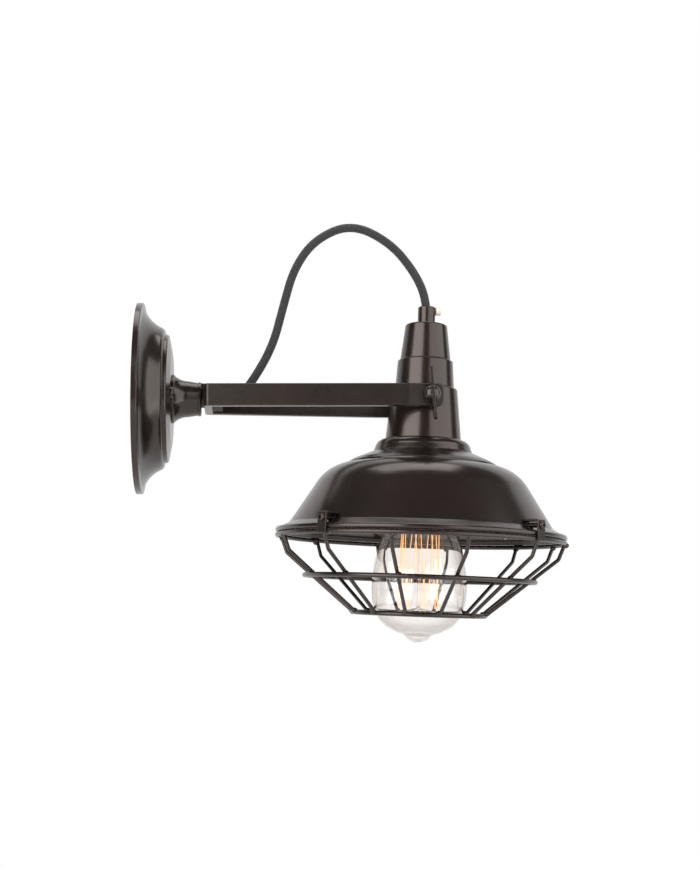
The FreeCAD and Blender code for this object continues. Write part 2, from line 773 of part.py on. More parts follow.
def arc_middle(start, end, corner):
    """The middle of the arc that rounds a corner between two tangent points."""
    reach = (start - corner).Length
    half = math.asin(min(1.0, (end - start).Length / 2 / reach))
    centre_way = ((start + end) * 0.5 - corner).normalize()
    gap = reach / math.cos(half) - reach * math.tan(half)
    return corner + centre_way * gap


def pipe_along(path, start, direction, radius):
    circle = Part.Wire([Part.Circle(start, direction, radius).toShape()])
    return path.makePipeShell([circle], True, True)


def make_plate_wires():
    """Three wires from the cord's end to the terminal block."""
    wire = S["wire_r"].value
    depth = S["bracket_thick"].value + 4.5
    cord_end = CORD_ROUTE[-1][0]
    wires = []
    for near, far in ((-1.5, -6), (0, 0), (1.5, 6)):
        route = [Vector(cord_end - 0.1, near, 0), Vector(cord_end - 2.5, near, 0.4),
                 Vector(depth + 0.6, far * 0.7, 6), Vector(depth, far, 15.5), Vector(depth, far, 20)]
        wires.append(bent_pipe(route, wire, 1.6))
    feature = doc.addObject("Part::Feature", "plate_wires")
    feature.Shape = Part.Compound(wires)
    finish(feature, "plate_wires")


# ---------------------------------------------------------------- pivot

def make_pivot_bolts():
    """Two short bolts, heads inside the neck, threads out through the arm."""
    head_seat = PIVOT_NECK_R - S["neck_wall"] - 1
    tip = S["fork_half_lamp"] + S["outer_washer_thick"] + S["wing_hub_long"] - S["wing_floor"] - S["pass_gap"]
    bolts = []
    for side, name in ((-1, "front"), (1, "rear")):
        bolts.append(turned("pivot_bolt_" + name, "Y", [
            Corner((head_seat - 2.8) * side, 0),
            Corner((head_seat - 2.8) * side, S["pivot_bolt_r"] + 1.8),
            Corner(head_seat * side, S["pivot_bolt_r"] + 1.8),
            Corner(head_seat * side, S["pivot_bolt_r"]),
            Corner((tip - 0.6) * side, S["pivot_bolt_r"]),
            Corner(tip * side, S["pivot_bolt_r"] - 0.6),
            Corner(tip * side, 0),
        ]))
    finish(group("pivot_bolts", bolts), "pivot_bolts", head_frame())


def pivot_washers(label, outer, first, thick):
    """A pair of washers on the pivot bolts."""
    bore = S["pivot_bolt_r"] + 0.05
    pair = []
    for side, name in ((-1, "front"), (1, "rear")):
        start = first if side > 0 else -(first + thick)
        pair.append(washer("{}_{}".format(label, name), outer, bore, thick, (0, start, 0), "Y"))
    finish(group(label, pair), label, head_frame())


def make_pivot_washers():
    boss = S["fork_half_lamp"] - S["bar_thick"] - S["friction_washer_thick"]
    pivot_washers("friction_washers", 7.0, boss, S["friction_washer_thick"])
    pivot_washers("outer_washers", 6.6, S["fork_half_lamp"], S["outer_washer_thick"])


def make_wing_nut(name, side):
    """A wing nut: a domed hub, closed outwards, and one blade across it that flares to two wings."""
    seat = S["fork_half_lamp"] + S["outer_washer_thick"]
    top = seat + S["wing_hub_long"]
    floor = top - S["wing_floor"]
    hub, bore, span = S["wing_hub_r"], S["pivot_bolt_r"] + S["thread_gap"], S["wing_span"]
    body = turned(name, "Y", [
        Corner(seat * side, bore),
        Corner(seat * side, hub),
        Corner((seat + 2.4) * side, hub),
        Via((top - 1.6) * side, hub * 0.76),
        Corner(top * side, 0),
        Corner(floor * side, 0),
        Corner(floor * side, bore),
    ])
    blade = new_sketch(body, name + "_blade", "YZ_Plane")
    half = [
        Corner((seat + 1.6) * side, bore + 0.8),
        Corner((seat + 1.6) * side, hub + 2.4, 2),
        Corner((seat + 4.6) * side, span, 2),
        Corner((seat + 10.2) * side, span + 0.4, 2.4),
        Corner((top + 0.9) * side, hub - 0.6, 3),
    ]
    mirrored = [Corner(c.point[0], -c.point[1], c.rounding) for c in reversed(half)]
    inner = (floor + 0.6) * side
    outline(blade, half + mirrored + [Corner(inner, -(bore + 0.8)), Corner(inner, bore + 0.8)])
    padded(body, name + "_wings", blade, S["wing_thick"], symmetric=True)
    turn = Rotation(Vector(0, 1, 0), -S["wing_turn"].value)
    finish(body, name, head_frame() * Placement(Vector(0, 0, 0), turn))


# ---------------------------------------------------------------- neck, cap, shade

def neck_profile(shift):
    """Three tapering tiers, from the top down, moved in by the wall."""
    def at(r, z, rounding=None):
        return Corner(r - shift, z - shift, rounding)

    return [
        at(S["neck_top_r"], S["neck_top"], 1.4),
        at(S["upper_step_r"], S["upper_step"]),
        at(S["upper_step_r"] + S["upper_step_out"], S["upper_step"] - S["step_high"], 1.0),
        at(S["lower_step_r"], S["lower_step"]),
        at(LOW_TIER_R, LOW_TIER, 1.2),
    ]


def make_neck():
    foot, foot_r, wall = S["neck_foot"], S["neck_foot_r"], S["neck_wall"]
    hole = S["tube_r"] + S["pass_gap"]
    body = turned("neck_casting", "Z", [Corner(0, S["neck_top"])] + neck_profile(size(0)) + [
        Corner(foot_r, foot),
        Corner(0, foot),
    ])
    boss = new_sketch(body, "neck_pivot_boss", "XZ_Plane")
    circles(boss, [(0, 0)], S["pivot_boss_r"])
    reach = S["fork_half_lamp"] - S["bar_thick"] - S["friction_washer_thick"]
    padded(body, "neck_pivot_bosses", boss, reach * 2, symmetric=True)
    inside = new_sketch(body, "neck_inside", "XZ_Plane")
    outline(inside, [Corner(0, S["neck_top"] - wall)] + neck_profile(wall) + [
        Corner(foot_r - wall, foot),
        Corner(0, foot),
    ])
    doc.recompute()
    before = body.Shape.Volume
    hollow = body.newObject("PartDesign::Groove", "neck_hollow")
    hollow.Profile = inside
    hollow.ReferenceAxis = (inside, ["V_Axis"])
    hollow.Angle = 360
    body.Tip = hollow
    doc.recompute()
    if body.Shape.Volume > before / 2:
        raise RuntimeError("the neck is not hollow")
    entry = new_sketch(body, "neck_entry", "XY_Plane")
    circles(entry, [(0, 0)], hole)
    drilled(body, "neck_entry_drilling", entry)
    bolts = new_sketch(body, "neck_bolt_holes", "XZ_Plane")
    circles(bolts, [(0, 0)], S["pivot_bolt_r"] + 0.05)
    drilled(body, "neck_bolt_drilling", bolts)
    finish(body, "neck_casting", head_frame())


def cap_profile(shift):
    """Collar and flange, from the neck outwards, moved in by the sheet."""
    top = S["neck_foot"]
    foot_r = S["neck_foot_r"]
    spread = SHOULDER_IN - S["cap_inset"] - foot_r
    fall = top - S["shade_top"]

    def at(r, z, rounding=None):
        return Corner(size(r) - shift, z - shift, rounding)

    return [
        at(foot_r + spread * 0.016, top),
        Via(foot_r + spread * 0.187 - shift, top - fall * 0.094 - shift),
        at(foot_r + spread * 0.268, top - fall * 0.293),
        at(foot_r + spread * 0.321, top - fall * 0.486),
        Via(foot_r + spread * 0.602 - shift, top - fall * 0.657 - shift),
        at(foot_r + spread * 0.862, top - fall * 0.812),
    ]


def make_cap():
    wall, reach = S["cap_wall"], SHOULDER_IN - S["cap_inset"]
    top, foot = S["neck_foot"], S["shade_top"]
    hole = S["holder_r"] + 1
    finish(turned("shade_cap", "Z", [Corner(hole, top)] + cap_profile(size(0)) + [
        Corner(reach, foot + 1.1, 0.7),
        Corner(reach, foot),
        Corner(reach - 3.2, foot),
    ] + list(reversed(cap_profile(wall))) + [
        Corner(hole, top - wall),
    ]), "shade_cap", head_frame())


def make_shade():
    """A spun shade: flat top, rounded shoulder, cone, flare and a rolled rim."""
    top, wall = S["shade_top"], S["shade_wall"]
    hole = S["holder_r"] + 0.5
    reach, rise = S["rim_roll"] * 0.46, S["rim_roll"] * 0.89
    fall = S["cone_deep"] * S["shoulder_deep"]
    bulge_r = SHOULDER_IN + (SHOULDER_OUT - SHOULDER_IN) * 0.615
    blank = turned("shade_blank", "Z", [
        Corner(hole, top),
        Corner(SHOULDER_IN, top),
        Via(bulge_r, top - fall * 0.392),
        Corner(SHOULDER_OUT, top - fall),
        Corner(SKIRT_R, SKIRT),
        Corner(ROLL_R - reach, RIM_MID + rise),
        Via(S["rim_r"], RIM_MID),
        Corner(ROLL_R - reach, RIM_MID - rise),
        Corner(ROLL_R - S["rim_roll"], RIM_MID + S["rim_roll"] * 0.37),
        Corner(SKIRT_R - wall, SKIRT - wall),
        Corner(SHOULDER_OUT - wall, top - fall - wall),
        Via(bulge_r - wall, top - fall * 0.392 - wall),
        Corner(SHOULDER_IN - wall, top - wall),
        Corner(hole, top - wall),
    ])
    holes = []
    for number in CLIP_RIBS:
        holes.append(clip_drill("shade_hole_{}".format(number), S["pass_gap"], number))
    finish(cut("shade", blank, group("shade_holes", holes)), "shade", head_frame())


# ---------------------------------------------------------------- cage

def make_cage_rings():
    wires = []
    for name, radius, height in (("top", CAGE_TOP_R, CAGE_TOP), ("mid", CAGE_MID_R, CAGE_MID),
                                 ("bottom", S["cage_low_r"], CAGE_LOW)):
        wire = ring("{}_ring_wire".format(name), radius, S["cage_wire"], height)
        finish(group("cage_{}_ring".format(name), [wire]), "cage_{}_ring".format(name), head_frame())
        wires.append(wire)
    return group("cage_rings", wires)


def rib_blank():
    """One rib in the plane of X and Z: down from the top ring, a knee, then inwards."""
    body = new_body("rib_blank")
    path = new_sketch(body, "rib_path", "XZ_Plane")
    top = Corner(CAGE_TOP_R, CAGE_TOP).vector()
    knee = Corner(KNEE_R, KNEE).vector()
    low = Corner(S["cage_low_r"], CAGE_LOW).vector()
    before, after = tangent_points(top, knee, low, S["knee_round"].value)
    arc, forward = rounding_arc(before, after, knee)
    upper = path.addGeometry(Part.LineSegment(top, before), False)
    bend = path.addGeometry(arc, False)
    lower = path.addGeometry(Part.LineSegment(after, low), False)
    first, last = (1, 2) if forward else (2, 1)
    mark = path.addGeometry(Part.Point(knee), True)
    pin_point(path, upper, 1, (CAGE_TOP_R, CAGE_TOP))
    pin_point(path, lower, 2, (S["cage_low_r"], CAGE_LOW))
    pin_point(path, mark, 1, (KNEE_R, KNEE))
    path.addConstraint(Sketcher.Constraint("PointOnObject", mark, 1, upper))
    path.addConstraint(Sketcher.Constraint("PointOnObject", mark, 1, lower))
    path.addConstraint(Sketcher.Constraint("Tangent", upper, 2, bend, first))
    path.addConstraint(Sketcher.Constraint("Tangent", lower, 1, bend, last))
    hold(path, "Radius", (bend,), S["knee_round"])
    doc.recompute()
    section = body.newObject("Sketcher::SketchObject", "rib_section")
    section.AttachmentSupport = [(path, "Edge1")]
    section.MapMode = "NormalToEdge"
    circles(section, [(0, 0)], S["rib_wire"])
    pipe = body.newObject("PartDesign::AdditivePipe", "rib_pipe")
    pipe.Profile = section
    pipe.Spine = (path, ["Edge1", "Edge2", "Edge3"])
    body.Tip = pipe
    return body


# The cage was welded by hand: how far each rib stands off its even place, in
# degrees, and the ribs beside which the four clips are fixed.
RIB_SETTING = [-2.0, -5.5, -3.0, 0.0, 1.5, 3.0, 3.5, 2.7, 0.4, -1.5, 0.0, 2.0]
CLIP_RIBS = [1, 4, 7, 10]


def rib_turn(number):
    """The place of a rib round the cage."""
    return turned_about_z(S["rib_start"].value + number * 360 / S["rib_count"].value + RIB_SETTING[number])


def make_cage_ribs(rings):
    """Twelve equal ribs, each trimmed to sit on the three rings."""
    blank = rib_blank()
    for number in range(len(RIB_SETTING)):
        name = "cage_rib_{:02d}".format(number + 1)
        finish(cut(name, blank, rings), name, head_frame() * rib_turn(number))


def cone_r(height):
    """The outer radius of the shade's cone at a height."""
    return SKIRT_R - (height - SKIRT) * CONE_OUT


def clip_seat(number):
    """The seat of a clip screw on the strap's outside, its Z pointing outwards."""
    seat = Vector((CLIP_INNER + S["clip_thick"]).value, 0, CLIP_SCREW.value)
    return rib_turn(number) * Placement(seat, Rotation(Vector(0, 1, 0), 90))


def clip_drill(name, gap, number):
    """A round tool along a clip screw, a little wider than the screw."""
    drill = doc.addObject("Part::Cylinder", name)
    bind(drill, "Radius", S["clip_screw_r"] + gap)
    drill.Height = 22
    drill.Placement = clip_seat(number) * Placement(Vector(0, 0, -20), Rotation())
    return drill


def make_clips():
    """Four bent straps from the cone, down outside the rim, to the cage's top ring."""
    inner, thick = CLIP_INNER, S["clip_thick"]
    outer, foot = inner + thick, CAGE_TOP - S["cage_wire"] * 0.84
    under = CLIP_TOP - thick
    clips = []
    for number in CLIP_RIBS:
        body = new_body("clip_{}".format(number))
        bend = new_sketch(body, "clip_bend_{}".format(number), "XZ_Plane")
        outline(bend, [
            Corner(cone_r(CLIP_TOP) + S["skin_gap"], CLIP_TOP),
            Corner(cone_r(under) + S["skin_gap"], under),
            Corner(inner, under, 0.5),
            Corner(inner, foot),
            Corner(outer, foot),
            Corner(outer, CLIP_TOP, 1.6),
        ])
        padded(body, "clip_strap_{}".format(number), bend, S["clip_wide"], symmetric=True)
        body.Placement = rib_turn(number)
        drill = clip_drill("clip_hole_{}".format(number), S["thread_gap"], number)
        clips.append(cut("cage_clip_{}".format(number), body, drill))
    finish(group("cage_clips", clips), "cage_clips", head_frame())


def make_clip_screws():
    """The screws through straps and shade, and their nuts inside the shade."""
    radius, thick = S["clip_screw_r"], S["clip_nut_thick"]
    nut_high = CLIP_SCREW + S["clip_nut_flats"] / math.sqrt(3)
    skin = S["shade_wall"] * (1 + CONE_OUT) + S["skin_gap"]
    nut_at = cone_r(nut_high) - skin - CLIP_INNER - S["clip_thick"] - thick
    screws, nuts = [], []
    for number in CLIP_RIBS:
        screw = turned("clip_screw_{}".format(number), "Z", [
            Corner(0, 0.9),
            Corner(0.8, 0.9),
            Corner(1.0, 1.7),
            Corner(2.5, 1.7, 1.2),
            Corner(2.5, 0),
            Corner(radius, 0),
            Corner(radius, nut_at - 1.2),
            Corner(0, nut_at - 1.2),
        ])
        screw.Placement = clip_seat(number)
        screws.append(screw)
        nut = hex_nut("clip_nut_{}".format(number), S["clip_nut_flats"], radius + S["thread_gap"], thick,
                      (0, 0, nut_at))
        nut.Placement = clip_seat(number)
        nuts.append(nut)
    finish(group("clip_screws", screws), "clip_screws", head_frame())
    finish(group("clip_nuts", nuts), "clip_nuts", head_frame())


# ---------------------------------------------------------------- lamp holder

def make_holder():
    radius, mouth, split = S["holder_r"], S["holder_mouth"], S["holder_split"]
    floor, core_r = CORE_FLOOR, HOLDER_BORE - S["pass_gap"]
    finish(turned("holder_body", "Z", [
        Corner(HOLDER_BORE, mouth),
        Corner(radius, mouth, 0.8),
        Corner(radius, split),
        Corner(HOLDER_BORE, split),
    ]), "holder_body", head_frame())
    finish(turned("holder_dome", "Z", [
        Corner(radius, split),
        Corner(radius, split + 3, 1.5),
        Corner(radius - 4.8, split + 6, 2),
        Corner(S["tube_r"] + 4.5, split + 18, 2),
        Corner(S["tube_r"] + 4.5, split + 22, 0.8),
        Corner(S["tube_r"] + S["thread_gap"], split + 22),
        Corner(S["tube_r"] + S["thread_gap"], split + 14),
        Corner(S["tube_r"] + 2.6, split + 14),
        Corner(radius - 7.0, split + 4),
        Corner(radius - 2.4, split + 1.2),
        Corner(radius - 2.4, split),
    ]), "holder_dome", head_frame())
    finish(turned("holder_core", "Z", [
        Corner(0, floor),
        Corner(core_r, floor),
        Corner(core_r, split),
        Corner(0, split),
    ]), "holder_core", head_frame())
    shell, lip = S["socket_r"], mouth + S["socket_deep"]
    finish(turned("screw_shell", "Z", [
        Corner(shell, lip),
        Corner(shell + 1.2, lip - 0.4),
        Corner(shell + 1.2, lip),
        Corner(shell + 0.5, lip + 0.4),
        Corner(shell + 0.5, floor),
        Corner(shell, floor),
    ]), "screw_shell", head_frame())
    thick = S["tongue_thick"]
    tongue = box("contact_tongue", 9, 4, thick, (0, 0, floor - thick))
    finish(group("centre_contact", [tongue]), "centre_contact", head_frame())
    posts = [cylinder("holder_terminal_{}".format(i), 2.0, 3.0, (x, 0, split))
             for i, x in enumerate((-7, 7), start=1)]
    finish(group("holder_terminals", posts), "holder_terminals", head_frame())


def make_shade_rings():
    """Two threaded rings on the lamp holder clamp the shade between them."""
    bore = S["holder_r"] + S["thread_gap"]
    top, wall = S["shade_top"], S["shade_wall"]
    reach, thick = S["shade_ring_r"], S["shade_ring_thick"]
    rings = []
    for name, start in (("upper", top), ("lower", top - wall - thick)):
        rings.append(turned("shade_ring_" + name, "Z", [
            Corner(bore, start),
            Corner(reach, start, 0.8),
            Corner(reach, start + thick, 0.8),
            Corner(bore, start + thick),
        ]))
    finish(group("shade_rings", rings), "shade_rings", head_frame())


def make_entry_nipple():
    """The hollow tube that hangs the lamp holder from the neck's top."""
    start, end = S["holder_split"] + 14, S["neck_top"] + 5.4
    rod = cylinder("nipple_rod", S["tube_r"], end - start, (0, 0, start))
    finish(bored("entry_nipple", rod, S["tube_bore"], end - start, (0, 0, start)), "entry_nipple", head_frame())
    fit = S["tube_r"] + S["thread_gap"]
    under = S["neck_top"] - S["neck_wall"] - 3.6
    nuts = [hex_nut("nipple_nut_top", S["tube_nut_flats"], fit, 3.6, (0, 0, under)),
            hex_nut("nipple_nut_low", S["tube_nut_flats"], fit, 3.6, (0, 0, S["holder_split"] + 22))]
    finish(group("nipple_nuts", nuts), "nipple_nuts", head_frame())


def make_holder_wires():
    """Two wires from the cord's end to the lamp holder's terminals."""
    wires = []
    start = CORD_ROUTE[0][1] - 0.3
    post = S["holder_split"].value + 3.15
    for side in (-1, 1):
        route = [Vector(1.3 * side, 0, start), Vector(1.3 * side, 0, post + 9),
                 Vector(6.4 * side, 0, post + 4.5), Vector(7 * side, 0, post)]
        wires.append(bent_pipe(route, S["wire_r"].value, 1.8))
    feature = doc.addObject("Part::Feature", "holder_wires")
    feature.Shape = Part.Compound(wires)
    finish(feature, "holder_wires", head_frame())


# ---------------------------------------------------------------- bulb

def make_bulb_glass():
    """A clear teardrop bulb with the nib of its exhaust tube at the bottom."""
    wide, wide_z, foot = S["bulb_r"], BULB_WIDE, BULB_FOOT
    pear, bowl = S["bulb_pear"], S["bulb_bowl"]
    neck = BULB_CAP_R - 0.4
    mouth, wall = BULB_MOUTH, S["glass_wall"]
    upper = [(0.56, mouth - pear * 0.261), (0.781, mouth - pear * 0.522), (0.931, mouth - pear * 0.758)]
    lower = [(0.925, wide_z - bowl * 0.494), (0.631, wide_z - bowl * 0.845), (0.36, wide_z - bowl * 0.958)]
    (top_r, top), (pear_r, pear_z), (side_r, side) = [(wide * share, z) for share, z in upper]
    (bowl_r, bowl_z), (base_r, base), (foot_r, foot_z) = [(wide * share, z) for share, z in lower]
    finish(turned("bulb_glass", "Z", [
        Corner(neck, mouth + 2),
        Corner(neck, mouth),
        Corner(neck + 0.7, mouth - 1.2),
        Corner(neck + 1.0, mouth - 4.5),
        Via(top_r, top),
        Corner(pear_r, pear_z),
        Via(side_r, side),
        Corner(wide, wide_z),
        Via(bowl_r, bowl_z),
        Corner(base_r, base),
        Via(foot_r, foot_z),
        Corner(2.6, foot),
        Corner(1.3, foot - 2.2, 0.8),
        Corner(0, foot - 2.6),
        Corner(0, foot + wall),
        Corner(2.6, foot + wall),
        Via(foot_r - wall / 3, foot_z + wall),
        Corner(base_r - wall / 2, base + wall),
        Via(bowl_r - wall, bowl_z + wall / 2),
        Corner(wide - wall, wide_z),
        Via(side_r - wall, side),
        Corner(pear_r - wall, pear_z),
        Via(top_r - wall, top),
        Corner(neck + 1.0 - wall, mouth - 4.5),
        Corner(neck - wall, mouth),
        Corner(neck - wall, mouth + 2),
    ]), "bulb_glass", head_frame())


def make_bulb_cap():
    radius, mouth = BULB_CAP_R, BULB_MOUTH
    tip = mouth + S["bulb_cap_long"] - 1.2
    finish(turned("bulb_cap", "Z", [
        Corner(radius - 0.35, mouth),
        Corner(radius, mouth),
        Corner(radius, tip - 3.9, 1.2),
        Corner(5.2, tip - 0.8),
        Corner(5.2, tip - 1.2),
        Corner(radius - 0.35, tip - 4.4),
    ]), "bulb_cap", head_frame())
    finish(turned("bulb_insulator", "Z", [
        Corner(0, tip - 2.4),
        Corner(6.4, tip - 2.0),
        Corner(5.2, tip - 1.2),
        Corner(5.2, tip),
        Corner(0, tip),
    ]), "bulb_insulator", head_frame())
    button = cylinder("bulb_button", 4.4, 1.2, (0, 0, tip))
    finish(group("bulb_contact", [button]), "bulb_contact", head_frame())


def make_bulb_stem():
    """The glass foot inside the bulb and the rod that carries the lower hooks."""
    mouth = BULB_MOUTH
    neck = BULB_CAP_R - 0.4 - S["glass_wall"]
    rod_end = FILAMENT_FOOT + 4
    finish(turned("bulb_stem", "Z", [
        Corner(0, mouth - 3),
        Corner(4.5, mouth - 3),
        Corner(neck, mouth + 2),
        Corner(neck, mouth + 1),
        Corner(5.5, mouth - 5.5),
        Corner(4.2, mouth - 10),
        Corner(3.6, mouth - 22, 1),
        Corner(1.4, mouth - 26),
        Corner(1.2, rod_end),
        Corner(2.0, rod_end - 1.4, 0.8),
        Corner(0, rod_end - 2.6),
    ]), "bulb_stem", head_frame())


def hook_points(count):
    """Upper and lower hooks of the filament, alternating round the axis."""
    upper, lower = [], []
    for number in range(count):
        around = 2 * math.pi * number / count
        between = around + math.pi / count
        upper.append(Vector(12.5 * math.cos(around), 12.5 * math.sin(around), FILAMENT_TOP.value))
        lower.append(Vector(13.5 * math.cos(between), 13.5 * math.sin(between), FILAMENT_FOOT.value))
    return upper, lower


def rod_between(start, end, radius):
    return Part.makeCylinder(radius, (end - start).Length, start, end - start)


def make_filament():
    """Strands up and down between the hooks, and the wires that carry the hooks."""
    count = 7
    upper, lower = hook_points(count)
    strand = S["filament_r"].value
    strands, hooks = [], []
    for number in range(count):
        ends = [(upper[number], lower[number])]
        if number < count - 1:
            ends.append((lower[number], upper[number + 1]))
        for start, end in ends:
            way = (end - start).normalize()
            side = Vector(-way.y, way.x, 0)
            side = side.normalize() * 0.35
            strands.append(rod_between(start + way * 0.5 + side, end - way * 0.5 + side, strand))
        root = Vector(0, 0, FILAMENT_TOP.value + 2)
        out = Vector(upper[number].x, upper[number].y, 0).normalize()
        hooks.append(rod_between(root + out * 1.5, upper[number] + out * 0.4, 0.25))
        root = Vector(0, 0, FILAMENT_FOOT.value + 2.4)
        out = Vector(lower[number].x, lower[number].y, 0).normalize()
        hooks.append(rod_between(root + out * 1.85, lower[number] + out * 0.4, 0.25))
    for label, solids in (("filament", strands), ("filament_hooks", hooks)):
        feature = doc.addObject("Part::Feature", label)
        feature.Shape = Part.Compound(solids)
        finish(feature, label, head_frame())


# ---------------------------------------------------------------- cord

def make_cord_grip():
    foot = S["neck_top"]
    top = foot + S["grip_high"]
    body = turned("cord_grip_blank", "Z", [
        Corner(S["tube_r"] + S["thread_gap"], foot),
        Corner(S["grip_r"], foot),
        Corner(S["grip_r"], top, 0.7),
        Corner(S["cord_r"] + 1.6, top),
        Via(S["cord_r"] + 0.8, top - 0.8),
        Corner(S["cord_r"] + 0.4, top - 2.6),
        Corner(S["cord_r"] + 0.4, foot + 5.6),
        Corner(S["tube_r"] + S["thread_gap"], foot + 5.6),
    ])
    hole = cylinder("grip_hole", size(1.5) + S["thread_gap"], 8, (0, 0, foot + S["grip_screw_up"]), "X")
    finish(cut("cord_grip", body, hole), "cord_grip", head_frame())
    screw = turned("grip_screw", "X", [
        Corner(S["cord_r"] + 0.1, 0),
        Corner(S["cord_r"] + 0.1, 1.5),
        Corner(S["grip_r"] + 0.1, 1.5),
        Corner(S["grip_r"] + 0.1, 2.9, 0.4),
        Corner(S["grip_r"] + 3.9, 2.9, 0.5),
        Corner(S["grip_r"] + 3.9, 0),
    ])
    seat = Placement(Vector(0, 0, (foot + S["grip_screw_up"]).value), Rotation())
    finish(screw, "grip_screw", head_frame() * seat)


# The cord's route in X and Z, in the plane Y = 0: out of the lamp holder's
# tube and the grip, over in one loop, down between the arm's two bars and
# into the knuckle's tube, as far as the terminal block.  It was drawn for one
# reach of the arm and one height of the neck, and it stretches with both.
CORD_DRAWN_REACH = 193.8
CORD_DRAWN_HIGH = 53.0
CORD_DRAWN = [
    (194.44, 16.0),
    (195.6, 41.5),
    (196.6, 69.5),
    (189.2, 89.0),
    (171.5, 111.2),
    (144.5, 124.2),
    (119.2, 112.6),
    (104.5, 91.5),
    (97.2, 64.5),
    (90.6, 38.5),
    (79.6, 17.5),
    (67.6, 0.7),
    (42.0, -0.25),
    (16.5, 0.15),
]
CORD_ROUTE = [(x * S["pivot_x"].value / CORD_DRAWN_REACH, z * S["neck_top"].value / CORD_DRAWN_HIGH)
              for x, z in CORD_DRAWN]


def cord_path():
    """Straight runs joined by arcs as large as the runs beside them allow."""
    points = [Vector(x, 0, z) for x, z in CORD_ROUTE]
    edges, last = [], points[0]
    for before, corner, after in zip(points, points[1:], points[2:]):
        into = before - corner
        out = after - corner
        turn = math.pi - into.getAngle(out)
        reach = 0.45 * min(into.Length, out.Length)
        start = corner + into.normalize() * reach
        end = corner + out.normalize() * reach
        radius = reach / math.tan(turn / 2)
        print("cord corner ({:6.1f}, {:6.1f})  turn {:5.1f}  radius {:6.1f}".format(
            corner.x, corner.z, math.degrees(turn), radius))
        edges.append(Part.LineSegment(last, start).toShape())
        edges.append(Part.Arc(start, arc_middle(start, end, corner), end).toShape())
        last = end
    edges.append(Part.LineSegment(last, points[-1]).toShape())
    path = Part.Wire(edges)
    length = sum(edge.Length for edge in edges)
    return path, points, length


def make_cord():
    path, points, length = cord_path()
    radius = S["cord_r"].value
    solid = pipe_along(path, points[0], points[1] - points[0], radius)
    expected = math.pi * radius ** 2 * length
    print("cord length {:.1f}, volume {:.0f} of {:.0f}".format(length, solid.Volume, expected))
    feature = doc.addObject("Part::Feature", "cord")
    feature.Shape = solid
    finish(feature, "cord")


# ---------------------------------------------------------------- build

def build():
    make_wall_plate()
    make_wall_bracket()
    make_plate_screws()
    make_knuckle()
    make_knuckle_tube()
    make_lock_plate()
    make_arm_fork()
    make_terminal_block()
    make_plate_wires()
    make_pivot_bolts()
    make_pivot_washers()
    make_wing_nut("wing_nut_front", -1)
    make_wing_nut("wing_nut_rear", 1)
    make_neck()
    make_cap()
    make_shade()
    make_cage_ribs(make_cage_rings())
    make_clips()
    make_clip_screws()
    make_holder()
    make_shade_rings()
    make_entry_nipple()
    make_holder_wires()
    make_bulb_glass()
    make_bulb_cap()
    make_bulb_stem()
    make_filament()
    make_cord_grip()
    make_cord()
    doc.recompute()


def check():
    """Stops on any failed feature or broken shape."""
    for thing in doc.Objects:
        if {"Invalid", "Error"} & set(thing.State):
            raise RuntimeError("{} failed: {}".format(thing.Name, thing.State))
    for part in parts:
        shape = part.Shape
        if shape.isNull() or not shape.isValid() or not shape.Solids:
            raise RuntimeError("{} has no sound solid".format(part.Label))


def write():
    os.makedirs("parts", exist_ok=True)
    for part in parts:
        part.Shape.exportStep(os.path.join("parts", part.Label + ".step"))
        box_ = part.Shape.optimalBoundingBox(False, False)
        print("{:18s} solids {:2d}  volume {:9.1f}  x {:6.1f} {:6.1f}  y {:6.1f} {:6.1f}  z {:7.1f} {:7.1f}".format(
            part.Label, len(part.Shape.Solids), part.Shape.Volume,
            box_.XMin, box_.XMax, box_.YMin, box_.YMax, box_.ZMin, box_.ZMax))
    print(len(parts), "sub-parts")


build()
check()
write()
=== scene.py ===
# %% [markdown]
# # Dressing a cage wall light
# The imported model is the bench this lesson works on: every solid part already
# stands in its place, in metres, with +X out of the wall and +Z up. We never
# move those parts. We set a camera and lights, make finer pieces where a plain
# solid falls short, and give each surface the finish that the real lamp has.

# %% Load the lamp and keep its parts and its record
import json
import math
import bmesh
import bpy
from mathutils import Matrix, Vector, noise
from mathutils.kdtree import KDTree


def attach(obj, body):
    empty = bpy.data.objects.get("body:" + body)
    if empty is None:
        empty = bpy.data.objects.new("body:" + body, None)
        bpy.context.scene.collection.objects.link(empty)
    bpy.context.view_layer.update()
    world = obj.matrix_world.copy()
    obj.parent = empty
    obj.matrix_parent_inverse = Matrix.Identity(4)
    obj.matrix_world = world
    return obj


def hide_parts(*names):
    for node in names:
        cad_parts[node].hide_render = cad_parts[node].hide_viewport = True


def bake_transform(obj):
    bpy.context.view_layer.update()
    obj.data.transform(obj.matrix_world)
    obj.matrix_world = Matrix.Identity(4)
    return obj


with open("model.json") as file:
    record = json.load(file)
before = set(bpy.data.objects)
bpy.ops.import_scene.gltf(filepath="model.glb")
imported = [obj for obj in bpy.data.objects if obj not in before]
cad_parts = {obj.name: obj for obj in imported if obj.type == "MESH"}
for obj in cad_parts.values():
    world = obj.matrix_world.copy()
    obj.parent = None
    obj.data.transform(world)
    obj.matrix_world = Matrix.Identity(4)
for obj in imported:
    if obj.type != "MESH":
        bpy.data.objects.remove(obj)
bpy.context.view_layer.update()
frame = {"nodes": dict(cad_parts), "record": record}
nodes = frame["nodes"]

# %% [markdown]
# ## Camera
# The photograph was taken from a little below the shade, almost square to the
# arm. Its place, aim and focal length were worked out from the lamp's own
# circles and straight edges, so the camera can be written down as a point,
# three small angles and a lens. There is no shift.

# %% The camera of the photograph
EYE = Vector((0.06465, -0.84893, -0.13212))
YAW, PITCH, ROLL = (math.radians(a) for a in (5.252, 7.282, -0.285))
LENS_MM, SENSOR_MM = 52.47, 36.0

